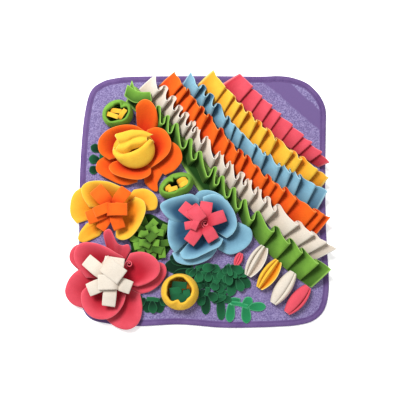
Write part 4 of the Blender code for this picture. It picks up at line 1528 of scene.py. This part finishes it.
FLOWERS = (
    FeltFlower(
        "orange", (-119, 89), ORANGE,
        outer=(
            Petal((
                (49, 58, 16), (55, 67, 27), (63, 79, 36), (73, 87, 37), (82, 86, 35), (89, 76, 28),
                (88, 62, 19)), 2.2, 9.5),
            Petal(((-40, 66, 12), (-26, 77, 18), (-12, 83, 22), (0, 79, 22), (10, 70, 20), (20, 58, 14))),
            Petal((
                (-76, 58, 9), (-68, 74, 10), (-62, 80, 11), (-57, 68, 12), (-46, 62, 12),
                (-34, 60, 10)), 1.7, 9.0),
            Petal(((188, 58, 9), (196, 73, 14), (208, 79, 15), (228, 69, 13), (250, 64, 12), (272, 54, 9)))),
        inner=(
            Petal((
                (68, 38, 20), (88, 42, 25), (108, 46, 28), (128, 52, 29), (148, 61, 29), (166, 67, 29),
                (184, 64, 26), (200, 50, 20)), 1.6),
            Petal((
                (-52, 40, 18), (-24, 48, 23), (-5, 59, 27), (12, 64, 29), (32, 62, 27), (48, 54, 23),
                (62, 42, 18)), 1.6),
            Petal((
                (206, 46, 18), (212, 57, 22), (228, 58, 26), (252, 53, 27), (278, 53, 26), (300, 50, 22),
                (310, 40, 17)), 1.6))),
    FeltFlower(
        "yellow", (-158, -16), YELLOW,
        outer=(
            Petal(((144, 72, 9), (156, 79, 12), (170, 80, 13), (186, 79, 12), (199, 72, 9))),
            Petal(((0, 58, 10), (2, 74, 16), (14, 79, 19), (26, 74, 18), (36, 65, 16), (48, 50, 11))),
            Petal(((204, 56, 7), (211, 72, 9), (218, 84, 9), (226, 78, 8), (238, 52, 6)))),
        inner=(
            Petal((
                (60, 42, 20), (84, 44, 25), (102, 50, 28), (120, 58, 29), (134, 66, 29), (146, 68, 28),
                (158, 58, 25), (174, 44, 19)), 1.3),
            Petal((
                (272, 48, 14), (284, 55, 19), (300, 57, 23), (320, 55, 26), (342, 55, 28), (360, 57, 28),
                (376, 55, 26), (392, 44, 20)), 1.2)),
        tab_finish=ORANGE,
        tabs=(
            Tab(-31, 36, 26, 24, 0.95), Tab(-46, -16, 24, 20, 0.95), Tab(24, 35, 22, 24, 0.95),
            Tab(-24, -35, 18, 14, 0.9), Tab(12, -35, 22, 22), Tab(17, 0, 22, 28, 0.97)),
        bridges=(Strip((-13, -2), (27, -2), 22, 19, 45), Strip((2, 6), (-32, -8), 18, 16, 40))),
    FeltFlower(
        "coral", (-160, -141), CORAL,
        outer=(
            Petal(((126, 84, 9), (138, 93, 12), (148, 92, 13), (156, 84, 12), (163, 66, 8))),
            Petal(((157, 58, 8), (167, 70, 12), (180, 81, 13), (194, 89, 13), (208, 86, 12), (222, 74, 8))),
            Petal(((258, 70, 8), (272, 82, 12), (286, 91, 13), (300, 88, 13), (315, 72, 12), (334, 52, 8))),
            Petal(((-27, 52, 8), (-16, 68, 11), (-4, 83, 12), (8, 95, 13), (18, 95, 13), (26, 80, 9))),
            Petal((
                (60, 61, 14), (67, 70, 18), (75, 65, 17), (84, 68, 24), (92, 90, 29), (100, 86, 27),
                (101, 66, 18)), 2.5, 11.0)),
        inner=(
            Petal((
                (66, 46, 19), (84, 50, 25), (100, 60, 28), (116, 74, 29), (130, 86, 29), (143, 84, 27),
                (154, 72, 25), (174, 48, 17)), 1.4),
            Petal((
                (192, 46, 18), (202, 60, 22), (222, 70, 24), (240, 74, 25), (258, 70, 25), (274, 61, 24),
                (292, 47, 21), (312, 34, 17)), 1.4),
            Petal((
                (-14, 44, 18), (-4, 62, 23), (6, 80, 26), (18, 88, 27), (32, 83, 27), (45, 72, 25),
                (58, 57, 21)), 1.4)),
        tab_finish=CREAM,
        tabs=(
            Tab(-45, 37, 24, 26, 0.95), Tab(34, -13, 24, 22, 0.98), Tab(-6, -45, 24, 22, 0.98),
            Tab(-42, -17, 24, 22, 0.98), Tab(6, 41, 36, 26, 0.97)),
        petal_rolls=(Rosette(29, 29, 15, 11, 6.0, 1.6),),
        bridges=(Strip((-17, 33), (20, 5), 30, 20, 44), Strip((16, -2), (-23, -3), 27, 17, 42))),
    FeltFlower(
        "blue", (0, -41), BLUE,
        outer=(
            Petal(((222, 76, 9), (234, 82, 12), (248, 78, 13), (264, 70, 14), (282, 61, 13), (300, 50, 9))),
            Petal((
                (14, 53, 15), (28, 57, 19), (44, 59, 21), (62, 60, 21), (80, 61, 18), (96, 60, 14),
                (107, 54, 10)), 2.0),
            Petal((
                (301, 52, 9), (312, 72, 12), (328, 84, 15), (342, 90, 18), (354, 84, 20), (364, 62, 14)))),
        inner=(
            Petal((
                (100, 45, 18), (112, 57, 23), (128, 63, 26), (144, 74, 28), (157, 83, 29), (167, 70, 27),
                (176, 54, 20)), 1.4),
            Petal(((172, 62, 22), (184, 63, 26), (200, 67, 28), (214, 71, 27), (226, 72, 21)), 1.4),
            Petal((
                (230, 66, 16), (240, 71, 21), (254, 64, 25), (270, 54, 26), (288, 49, 27), (306, 49, 27),
                (323, 44, 22)), 1.4),
            Petal((
                (328, 48, 20), (342, 55, 25), (358, 59, 28), (378, 58, 29), (396, 57, 29), (414, 57, 28),
                (432, 55, 26), (452, 48, 20)), 1.4)),
        tab_finish=CORAL,
        tabs=(
            Tab(-38, 31, 22, 24, 0.93), Tab(6, 38, 22, 24), Tab(38, 14, 22, 24), Tab(18, -30, 22, 22, 0.95),
            Tab(-26, -34, 22, 22, 0.92), Tab(-33, -5, 14, 25, 0.95), Tab(-24, 26, 22, 29, 0.95)),
        tab_rolls=(Rosette(3, 0, 20, 13, 9.0, 2.2, 60),),
        bridges=(Strip((-8, 12), (-19, -12), 12, 15, 43), Strip((-22, 30), (-3, 4), 22, 20, 44)),
        gloom=0.5))


@dataclass(frozen=True)
class RoseBud:
    """The yellow bud of the orange flower: a back flap under a front wrap.

    Each of them runs from its inner rim over a shoulder and round the bud's
    side to its foot.  `front` and `flap` hold the lines that it passes over, as
    points of (x, y, height) from the centre, and `side` the bud's own rings
    below them, as (x radius, y radius, height).
    """
    centre: Spot = (-121.0, 89.0)
    foot: float = SEAT + 2 * (FELT + SEAM) + 3.0
    side: tuple[Point, ...] = ((35.0, 32.0, 16.0), (30.1, 27.52, 8.0), (12.0, 11.0, 1.2))
    front: tuple[tuple[Point, ...], ...] = (
        ((-30, 0, 14), (-28, -4, 16), (-20, -9, 18), (-6, -7, 19), (8, -1, 20), (15, 4, 20),
         (22, 11, 20), (28, 17, 19)),
        ((-33, -1, 22), (-31, -7, 25), (-22, -12.5, 28), (-7, -10, 29), (6, -5, 29.6), (14, 0, 29.6),
         (22, 8, 28.6), (29, 15, 26.5)),
        ((-37, -2, 20), (-35, -11, 23), (-24, -19, 26.5), (-7, -18, 28.5), (8, -13, 29), (19, -5, 28.6),
         (27, 4, 27.5), (33, 13, 25)))
    flap: tuple[tuple[Point, ...], ...] = (
        ((-28, -8, 16), (-13, -8, 18), (-3, -1, 19), (13, 3, 20), (22, 10, 20)),
        ((-31, 0, 24), (-16, 0, 27.5), (-3, 7, 29.4), (12, 10, 29.6), (24, 14, 28)),
        ((-26, 7, 22), (-12, 10, 23.5), (-3, 15, 24.5), (10, 18.5, 25), (22, 18, 24.5)),
        ((-28, 13, 28.5), (-12, 17, 29.4), (0, 21, 29.6), (14, 23, 29.6), (27, 20, 28)),
        ((-29, 24, 27), (-10, 29, 28), (4, 30, 28.5), (17, 29, 28), (31, 22, 26)))

    def panel(self, stations: Sequence[Sequence[Point]], azimuths: tuple[float, float], count: int) -> Cut:
        """One wrapped panel, from its inner rim to the bud's foot.

        Args:
            stations: the lines that the panel passes over, inner rim first.
            azimuths: where its two ends meet the bud's side.
            count: points along the rim.

        Returns:
            The cut panel.
        """
        lines = [smooth_line(points, count) for points in stations]
        turn = np.radians(np.linspace(*azimuths, count))
        lines += [np.column_stack([x * np.cos(turn), y * np.sin(turn), np.full(count, height)])
                  for x, y, height in self.side]
        columns = [smooth_line([line[k] for line in lines], 34) for k in range(count)]
        grid = np.array(columns).transpose(1, 0, 2) + (*self.centre, self.foot)
        # Painted shade, darker lower down on the bud.
        return Cut(grid, np.clip((grid[:, :, 2] - self.foot - 7) / 19, 0, 1))

    def build(self, dresser: Dresser) -> None:
        """Make the bud.

        Args:
            dresser: takes the finished piece.
        """
        cuts = [self.panel(self.flap, (24, 186), 30), self.panel(self.front, (172, 392), 38)]
        dresser.add("bud_orange", "flower_orange_bud", cuts, FELT, YELLOW, Held.FOLDED,
                    "petals_orange_inner")


# ---- cups ---------------------------------------------------------------------
@dataclass(frozen=True)
class TreatCup:
    """A soft felt cup: an oval bowl with a rolled rim and one dart, and its strips.

    `long` and `short` are the bowl's half lengths and `mouth` those of its
    mouth, which is moved by `shift`; its long side points along `azimuth` and
    its dart along `dart`.  Each strip is the x and y of its foot and of its end
    from the cup's centre.
    """
    name: str
    centre: Spot
    finish: ClothFinish
    long: float
    short: float
    azimuth: float
    dart: float
    mouth: Spot
    shift: Spot = (0.0, 0.0)
    height: float = 34.0
    strips: tuple[tuple[float, float, float, float], ...] = ()
    strip_finish: ClothFinish = YELLOW
    strip_width: float = 8.0

    def ring(self, share: float, height: float, inward: float, depth: float, count: int = 49) -> np.ndarray:
        """One loop of the bowl.

        Args:
            share: 0 at the widest loop, 1 at the mouth.
            height: its height.
            inward: how far inside the cup's outer face it lies.
            depth: how far the dart is pushed in.
            count: points round it, the first one repeated.

        Returns:
            The loop's points.
        """
        turn = np.linspace(0, 2 * math.pi, count) + math.radians(self.dart)
        tilt = math.radians(self.azimuth)
        away = (turn - math.radians(self.dart) + math.pi) % (2 * math.pi) - math.pi
        long = self.long + (self.mouth[0] - self.long) * share - inward
        short = self.short + (self.mouth[1] - self.short) * share - inward
        radius = long * short / np.hypot(short * np.cos(turn - tilt), long * np.sin(turn - tilt))
        for size, waves, phase in ((0.3, 11, 0.7), (0.9, 3, self.long), (0.6, 5, self.short)):
            radius = radius + size * share * np.sin(turn * waves + phase)
        swell = depth * 0.3 * np.exp(-((np.abs(away) - 0.42) / 0.2) ** 2)
        radius = radius - depth * np.exp(-(away / 0.17) ** 2) + swell
        return np.column_stack([self.centre[0] + self.shift[0] * share + radius * np.cos(turn),
                                self.centre[1] + self.shift[1] * share + radius * np.sin(turn),
                                height - depth * 0.25 * np.exp(-(away / 0.3) ** 2)])

    def bowl_cut(self) -> Cut:
        """The bowl's points and tones, from its foot's middle to inside the rim.

        Returns:
            The cut bowl.
        """
        top = self.height - 1.0
        # Each loop's share, height, way inward, dart depth and painted shade tone,
        # darker at the foot and inside the mouth.
        loops = ((0, SEAT + 1, 7.2, 0, 0.55), (0, SEAT + 3.2, 3.4, 0, 0.6), (0, SEAT + 7, 1.6, 0, 0.7),
                 (0, SEAT + 11, 1.1, 0, 0.8), (0.12, SEAT + 17, 1.1, 1, 0.9), (0.35, top - 7, 1.1, 3, 1.0),
                 (0.62, top - 3.4, 1.0, 4.4, 1.0), (0.86, top - 0.9, 0.8, 5.6, 1.0),
                 (0.98, top - 0.2, 1.2, 6, 1.0), (1.03, top - 1.2, 2.2, 6, 0.7),
                 (1.0, top - 4, 2.9, 5.5, 0.35), (0.9, top - 8, 3.2, 4.5, 0.1))
        rings = [self.ring(*loop[:4]) for loop in loops]
        middle = rings[0].mean(axis=0)
        grid = np.array([np.tile(middle, (len(rings[0]), 1)), (rings[0] + middle) / 2] + rings)
        tones = np.array([0.0, 0.0] + [loop[4] for loop in loops])
        return Cut(grid, tones[:, None], closed=True, rim=np.zeros(grid.shape[:2]))

    def filling_cuts(self) -> list[Cut]:
        """The strips in the cup, each a little higher than the last and with its own share of painted shade.

        Returns:
            The cut strips.
        """
        ends = np.array(self.strips)
        mid = np.array([(ends[:, 0] + ends[:, 2]).mean() / 2, (ends[:, 1] + ends[:, 3]).mean() / 2])
        low = SEAT + FELT + SEAM + FELT / 2
        cuts = []
        for n, (ax, ay, bx, by) in enumerate(self.strips):
            foot = (mid[0] + (ax - mid[0]) * 0.95, mid[1] + (ay - mid[1]) * 0.95)
            strip = Strip(foot, (bx, by), self.strip_width, low, SEAT + 24.0 + n).moved(*self.centre)
            cuts.append(strip.cut(steep=0.05).toned(0.55 + 0.15 * (n * 2 % 4)))
        return cuts

    def build(self, dresser: Dresser) -> None:
        """Make the cup and the strips inside it.

        Args:
            dresser: takes the finished pieces.
        """
        dresser.add(f"pouch_{self.name}", f"cup_{self.name}", [self.bowl_cut()], FELT, self.finish,
                    Held.GATHERED, "fleece_base")
        dresser.add(f"filling_{self.name}", f"cup_{self.name}_strips", self.filling_cuts(), STRIP_FELT,
                    self.strip_finish, Held.GATHERED, f"pouch_{self.name}")


CUPS = (
    TreatCup(
        "green_top", (-152, 154), GREEN, 28, 25, 20, 53, (23, 17), (1, -2),
        strips=((-12, 4, 9, 1), (-20, -2, 3, -9), (5, -12, 16, 5))),
    TreatCup(
        "green_mid", (-48, 27), GREEN, 33, 22, 25, 135, (27, 13), (0, 0),
        strips=((-20, -9, -9, -2), (-16, -11, 3, -5), (3, 5, 18, 12), (7, -3, 22, 6))),
    TreatCup(
        "yellow", (-42, -161), YELLOW, 34, 33, 0, -97, (25, 25), (-1, 4),
        strips=((-14, 14, 13, 11), (-18, 1, 4, 4), (-16, -10, 3, -6), (12, 4, 15, -12), (1, -4, 8, -18)),
        strip_finish=DARK, strip_width=12.5))


# ---- tuft, leaves and folded petals -------------------------------------------
@dataclass(frozen=True)
class GrassTuft:
    """A tuft of cut strips on a backing painted wholly in the deep shaded tone, to stand for the shade
    round it; the tuft is sewn down at its middle.

    Each strip is the x and y of its end from the centre, its width and its height.
    """
    centre: Spot = (-95.0, -65.0)
    backing: float = 43.0
    strips: tuple[tuple[float, float, float, float], ...] = (
        (-14, 36, 13, 8), (11, 31, 13, 9), (28, 24, 11, 8), (-35, 1, 12, 8), (-24, 20, 13, 9),
        (35, -8, 12, 8), (22, -36, 13, 8), (-16, -32, 13, 8), (-29, -16, 13, 9), (4, -39, 11, 7),
        (22, -24, 13, 11), (25, 8, 12, 11), (-3, 24, 14, 12), (-20, 8, 13, 12), (-19, -9, 13, 12),
        (3, -26, 13, 11), (14, 16, 14, 14), (-8, -17, 15, 15), (17, -10, 13, 14), (-10, 12, 14, 15),
        (8, -4, 18, 19))

    def backing_cut(self) -> Cut:
        """The uneven round backing.

        Returns:
            The cut backing.
        """
        turn = np.linspace(0, 2 * math.pi, 37)
        edge = self.backing + 3.5 * np.sin(turn * 3 + 1) + 2.5 * np.sin(turn * 5)
        return round_patch(self.centre, [edge * share for share in (0.0, 0.5, 0.96, 1.0)], SEAT + 0.6, 37)

    def build(self, dresser: Dresser) -> None:
        """Make the tuft; each strip's foot is swung a little round the centre from its end.

        Args:
            dresser: takes the finished piece.
        """
        cuts = [self.backing_cut()]
        for n, (x, y, width, top) in enumerate(self.strips):
            swing = math.sin(n * 2.4)
            share = 0.45 if math.hypot(x, y) > 10 else -0.9
            foot = ((x * math.cos(swing) - y * math.sin(swing)) * share,
                    (x * math.sin(swing) + y * math.cos(swing)) * share)
            strip = Strip(foot, (x, y), width, SEAT + FELT + 0.05 * n, SEAT + top + 0.6 * (n % 3))
            # Each strip gets its own share of painted shade.
            cuts.append(strip.moved(*self.centre).cut(steep=0.2).toned(0.34 + 0.09 * (n * 3 % 5)))
        dresser.add("grass_tuft", "tuft_green", cuts, TUFT_FELT, GREEN, Held.GATHERED, "fleece_base")


@dataclass(frozen=True)
class Leaf:
    """A flat rounded leaf from (x, y), `height` above the mat.

    `rise` is its slope, `root` its width at the stalk as a share of its width,
    `sweep` how far its middle is bent sideways and `shade` its share of the painted light.
    """
    # The share of the leaf at which it is widest.
    WIDEST = 0.66

    x: float
    y: float
    azimuth: float
    length: float
    width: float
    height: float = 0.0
    rise: float = 0.0
    root: float = 0.24
    sweep: float = 0.0
    shade: float = 1.0

    def cut(self, across: int = 7, along: int = 10) -> Cut:
        """The leaf's points and tones.

        Args:
            across: points across.
            along: points from stalk to tip.

        Returns:
            The cut leaf.
        """
        uu, vv = np.meshgrid(dense_ends(across), 1 - (1 - np.linspace(0, 1, along)) ** 1.3)
        grown = np.sin(np.clip(vv / self.WIDEST, 0, 1) * math.pi / 2)
        tapered = np.sqrt(1 - 0.70 * (np.clip(vv - self.WIDEST, 0, 1) / (1 - self.WIDEST)) ** 2)
        half = self.width / 2 * (self.root + (1 - self.root) * grown) * tapered
        x = uu * half + self.sweep * np.sin(vv * math.pi)
        y = self.length * vv - 0.20 * self.width * uu * uu * vv ** 3
        px, py = turned(x, y, self.azimuth)
        vein = 0.5 * np.exp(-(uu / 0.12) ** 2) * (1 - vv)
        z = SEAT + 0.8 + self.height + self.length * vv * math.tan(math.radians(self.rise)) - vein
        z = z + 0.8 * uu ** 2 * vv
        # Painted light: a leaf set higher is painted lighter, a sine of its azimuth varies the light leaf by
        # leaf, and the stalk end is painted darker.
        lit = (0.46 + 0.09 * min(self.height, 5.0) + 0.14 * math.sin(self.azimuth)) * self.shade
        return Cut(np.dstack([self.x + px, self.y + py, z]), np.clip((0.05 + vv) * lit, 0, 1))


@dataclass(frozen=True)
class LeafSprig:
    """Leaves sewn along a short stem."""
    name: str
    node: str
    finish: ClothFinish
    stem: tuple[Spot, ...]
    leaves: tuple[Leaf, ...]
    stem_width: float = 8.0

    def stem_cut(self) -> Cut:
        """The stem, half as high as the highest leaf.

        Returns:
            The cut stem.
        """
        lift = max(leaf.height for leaf in self.leaves) / 2
        line = smooth_line([(x, y, SEAT + 0.85 + lift) for x, y in self.stem], 10)
        ahead = np.gradient(line, axis=0)
        ahead /= np.linalg.norm(ahead, axis=1, keepdims=True)
        side = dense_ends(5)[None, :] * self.stem_width / 2
        # The stem is painted partly in shade.
        return Cut(np.dstack([line[:, 0:1] + ahead[:, 1:2] * side, line[:, 1:2] - ahead[:, 0:1] * side,
                              line[:, 2:3] + 0 * side]), 0.6)

    def build(self, dresser: Dresser) -> None:
        """Make the sprig."""
        cuts = [self.stem_cut()] + [leaf.cut() for leaf in self.leaves]
        dresser.add(self.name, self.node, cuts, LEAF_FELT, self.finish, Held.LAID, "fleece_base")


SPRIGS = (
    LeafSprig(
        "fan_leaves", "leaf_fan", DARK, stem=((-14, -119), (-1, -115), (12, -114)),
        leaves=(
            Leaf(-12, -118, 232, 21, 11, 3.0, 8), Leaf(-3, -117, 250, 26, 11, 3.2, 6),
            Leaf(22, -115, 192, 25, 17, 6.2, 2), Leaf(4, -119, 200, 18, 11, 3.1, 2),
            Leaf(8, -117, 350, 22, 16, 3.2, 8), Leaf(2, -118, 275, 20, 17, 3, 1),
            Leaf(-6, -120, 262, 30, 17, 0.4, 3), Leaf(6, -121, 290, 30, 17, 1.6, 2),
            Leaf(14, -118, 318, 24, 15, 2.2, 5), Leaf(-10, -122, 285, 22, 14, 5.5, 6),
            Leaf(0, -124, 235, 24, 15, 4.4, 8), Leaf(10, -124, 262, 20, 14, 6.5, 8),
            Leaf(-16, -120, 210, 18, 13, 1, 6), Leaf(18, -122, 285, 26, 17, 4, 4),
            # Three broad, low leaves painted deep in shade, which fill the shaded gap beside the sprig.
            Leaf(-18, -116, 178, 52, 26, 0, 0, 0.5, shade=0.3),
            Leaf(-16, -124, 192, 40, 20, 0.2, 0, 0.5, shade=0.3),
            Leaf(-22, -108, 166, 40, 24, 0.3, 0, 0.5, shade=0.3))),
    LeafSprig(
        "pair_leaves", "leaf_pair", DARK, stem=((8, -152), (7, -160), (4, -168)),
        leaves=(
            Leaf(7, -158, 82, 22, 18), Leaf(5, -160, 268, 42, 17), Leaf(7, -156, 132, 20, 14),
            Leaf(4, -158, 215, 18, 13), Leaf(6, -146, 60, 18, 17, 3, 8), Leaf(2, -150, 178, 18, 17, 2.2, 6),
            Leaf(8, -162, 320, 22, 17, 2.6, 3), Leaf(2, -168, 240, 20, 15, 1.8, 2),
            Leaf(10, -150, 18, 16, 14, 4, 6), Leaf(4, -142, 110, 20, 17, 4, 5))),
    LeafSprig(
        "wrap_leaves", "leaf_wrap", DARK, stem=((28, -152), (30, -162), (31, -172)),
        leaves=(
            Leaf(29, -160, 96, 25, 18), Leaf(30, -160, 272, 52, 16, 0, 0, 0.5),
            Leaf(18, -163, 28, 26, 8, 1.6, 2), Leaf(18, -172, 28, 27, 10, 1.6, 2),
            Leaf(28, -150, 60, 18, 17, 3.2, 6), Leaf(26, -148, 135, 16, 15, 2.2, 8),
            Leaf(17, -181, 28, 27, 10, 1.6, 2), Leaf(32, -168, 330, 20, 15, 1, 2),
            Leaf(24, -140, 250, 20, 17, 5, 4), Leaf(22, -142, 300, 24, 17, 3, 3))),
    LeafSprig(
        "right_leaves", "leaf_right", DARK, stem=((42, -112), (50, -122), (56, -134)),
        leaves=(
            Leaf(43, -117, 268, 29, 17, 3.2, 2), Leaf(53, -130, 325, 38, 20, 2.0),
            Leaf(55, -132, 259, 38, 18, 1.4), Leaf(45, -115, 302, 26, 10, 3.2, 12),
            Leaf(43, -112, 285, 22, 10, 3.6, 22), Leaf(41, -113, 256, 17, 10, 3.0, 12),
            Leaf(48, -120, 318, 24, 10, 3.0, 5), Leaf(48, -114, 330, 26, 17, 5, 6),
            Leaf(38, -118, 240, 24, 14, 4.6, 4), Leaf(60, -136, 290, 26, 16, 4, 4),
            Leaf(50, -128, 230, 22, 17, 5, 4), Leaf(58, -126, 350, 22, 15, 4.6, 6),
            Leaf(44, -124, 275, 26, 15, 6.4, 6), Leaf(40, -130, 262, 24, 17, 2, 3))),
    LeafSprig(
        "bright_leaves", "sprig_bright", BRIGHT, stem=((48, -181), (64, -183), (80, -188)),
        leaves=(
            Leaf(50, -181, 264, 35, 17, 0, 0, 0.6), Leaf(75, -184, 274, 34, 18, 0, 0, 0.6),
            Leaf(76, -188, 1, 36, 17, 0, 0, 0.4), Leaf(72, -188, 52, 22, 17, 0, 0, 0.7),
            Leaf(66, -179, 175, 20, 15, 0, 0, 0.8))),
    LeafSprig(
        "low_leaves", "sprig_low", DARK, stem=((-102, -174), (-91, -174), (-80, -176)),
        leaves=(
            Leaf(-98, -174, 262, 25, 18, 0, 0, 0.4), Leaf(-84, -175, 288, 25, 18, 0, 0, 0.4),
            Leaf(-104, -172, 225, 20, 16, 1.6, 3), Leaf(-92, -176, 276, 24, 17, 1.8, 2),
            Leaf(-78, -172, 320, 18, 17, 1.6, 3), Leaf(-110, -170, 180, 16, 15, 0.4, 3))),
    LeafSprig(
        "left_leaves", "sprig_left", DARK, stem=((-182, 94), (-183, 76), (-188, 58)),
        leaves=(Leaf(-182, 91, 156, 22, 16), Leaf(-185, 76, 178, 21, 17), Leaf(-187, 61, 200, 19, 16))))


@dataclass(frozen=True)
class FoldedPetal:
    """A lens-shaped petal folded along its length.

    `section` holds the fold's (sideways, height) points at the petal's middle,
    and `blunt` is lower for a rounder far end.
    """
    name: str
    finish: ClothFinish
    x: float
    y: float
    azimuth: float
    length: float
    section: tuple[Spot, ...]
    sharp: float = 0.72
    blunt: float = 0.6

    def cut(self, along: int = 19, across: int = 30) -> Cut:
        """The folded petal's points and tones.

        Args:
            along: points along its length.
            across: points across the fold.

        Returns:
            The cut petal.
        """
        line = smooth_line(self.section, across)
        # Painted shade, darker low down in the fold.
        tone = np.clip(line[:, 1] / line[:, 1].max() * 1.1 - 0.1, 0, 1)
        rows = []
        for v in 0.5 + 0.5 * dense_ends(along):
            power = self.sharp if v < 0.5 else self.blunt
            share = 0.2 + 0.8 * math.sin(math.pi * (0.04 + 0.92 * v)) ** power
            z = SEAT + 1.2 + line[:, 1] * (0.35 + 0.65 * share) + 4.0 * abs(v - 0.5) ** 2
            px, py = turned(line[:, 0] * share, np.full(across, self.length * (v - 0.5)), self.azimuth)
            rows.append(np.column_stack([self.x + px, self.y + py, z]))
        return Cut(np.array(rows), tone[None, :])

    def build(self, dresser: Dresser) -> None:
        """Make the folded petal."""
        dresser.add(f"folded_{self.name}", f"fold_{self.name}", [self.cut()], LEAF_FELT, self.finish,
                    Held.FOLDED, "fleece_base")


FOLDS = (
    FoldedPetal(
        "cream_upper", CREAM, 93.6, -106.4, 60, 60,
        section=(
            (-13, 1), (-14, 8), (-12, 12.5), (-9.5, 11), (-7.5, 5), (-5, 10), (-2.5, 14), (0, 11), (3, 4),
            (8, 4), (12.5, 9), (14, 15))),
    FoldedPetal(
        "yellow", YELLOW, 116, -130, 55, 60,
        section=(
            (-12.5, 2), (-13, 9), (-11, 13.5), (-8.5, 12), (-6.5, 6), (-4.5, 11), (-2, 14.5), (0.5, 10),
            (3, 3.5), (8, 3.5), (12.5, 8), (14, 13.5))),
    FoldedPetal(
        "cream_lower", CREAM, 142, -154, 57, 66,
        section=(
            (-13.5, 3), (-12.5, 9), (-8, 13.5), (0, 15), (3.5, 13.5), (5, 10.5), (6.5, 13), (10, 13.5),
            (13.5, 9), (14, 4))),
    FoldedPetal(
        "coral", CORAL, 167, -175, 51, 60,
        section=(
            (-12.5, 3), (-11.5, 8.5), (-6, 12.5), (1, 13.5), (6, 12.5), (7.5, 7), (8.5, 5), (10, 10),
            (11.5, 12.5), (13.5, 10), (14, 5))),
    FoldedPetal(
        "coral_small", CORAL, 62, -103, 66, 24,
        section=(
            (-6, 2), (-6.5, 6.5), (-5, 8), (-3, 7), (-1.8, 4), (-0.3, 7.5), (1.2, 7.5), (2.6, 4), (4.4, 7),
            (6.4, 7.5), (7, 4))))


# ---- studio -------------------------------------------------------------------
@dataclass(frozen=True)
class SoftLight:
    """A square area light aimed at the mat; its sizes are metres and its power watts."""
    name: str
    place: Point
    size: float
    power: float

    def build(self) -> None:
        """Hang the light."""
        lamp = bpy.data.lights.new(self.name, "AREA")
        lamp.size = self.size
        lamp.energy = self.power
        body = bpy.data.objects.new(self.name, lamp)
        bpy.context.scene.collection.objects.link(body)
        body.location = self.place
        reach = math.hypot(self.place[0], self.place[1])
        body.rotation_euler = (math.atan2(reach, self.place[2]), 0.0,
                               math.atan2(self.place[1], self.place[0]) + math.pi / 2)


@dataclass(frozen=True)
class Studio:
    """Pale floor, soft lights and the camera above the mat; its places are in metres."""
    camera_place: Point = (0.0, -0.146, 1.04)
    lens: float = 52.0
    sensor: float = 36.0
    shift: Spot = (-0.00875, 0.2087)
    ambient: float = 0.48
    floor_size: float = 6.0
    floor_height: float = -0.0002
    floor_tone: Colour = (0.97, 0.97, 0.97)
    floor_glow: float = 0.28
    lights: tuple[SoftLight, ...] = (
        SoftLight("key", (-0.75, 0.85, 1.55), 0.7, 52.0),
        SoftLight("fill", (0.9, -0.5, 1.7), 1.6, 8.0))

    def build(self) -> None:
        """Set the studio up."""
        self.lay_floor()
        for light in self.lights:
            light.build()
        self.fill_air()
        self.place_camera()

    def fill_air(self) -> None:
        """Light the room evenly and show its colours as they are."""
        world = bpy.data.worlds.new("studio_air")
        world.use_nodes = True
        ShaderKit(world.node_tree).feed_all(world.node_tree.nodes["Background"], {
            "Color": (1.0, 1.0, 1.0), "Strength": self.ambient})
        bpy.context.scene.world = world
        bpy.context.scene.view_settings.view_transform = "Standard"

    def lay_floor(self) -> None:
        """Lay the plain pale floor."""
        CuttingTable.deselect()
        bpy.ops.mesh.primitive_plane_add(size=self.floor_size, location=(0.0, 0.0, self.floor_height))
        floor = bpy.context.active_object
        floor.name = floor.data.name = "floor"
        paint = bpy.data.materials.new("floor_paint")
        paint.use_nodes = True
        ShaderKit(paint.node_tree).feed_all(paint.node_tree.nodes["Principled BSDF"], {
            "Base Color": self.floor_tone, "Roughness": 0.9, "Emission Color": (1.0, 1.0, 1.0),
            "Emission Strength": self.floor_glow})
        floor.data.materials.append(paint)

    def place_camera(self) -> None:
        """Put the camera above the mat, looking straight down, its lens shifted to the mat's middle."""
        lens = bpy.data.cameras.new("camera")
        lens.lens = self.lens
        lens.sensor_width = self.sensor
        lens.shift_x, lens.shift_y = self.shift
        body = bpy.data.objects.new("camera", lens)
        bpy.context.scene.collection.objects.link(body)
        body.location = self.camera_place
        bpy.context.scene.camera = body


def main() -> None:
    """Build the studio and every piece of the mat in order."""
    logging.basicConfig(level=logging.INFO, format="%(name)s: %(message)s")
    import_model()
    Studio().build()
    dresser = Dresser()
    for piece in (BoundBase(), *ROWS, *FLOWERS, RoseBud(), *CUPS, GrassTuft(), *SPRIGS, *FOLDS):
        piece.build(dresser)
    LOG.info("%d pieces", dresser.made)


if __name__ == "__main__":
    main()
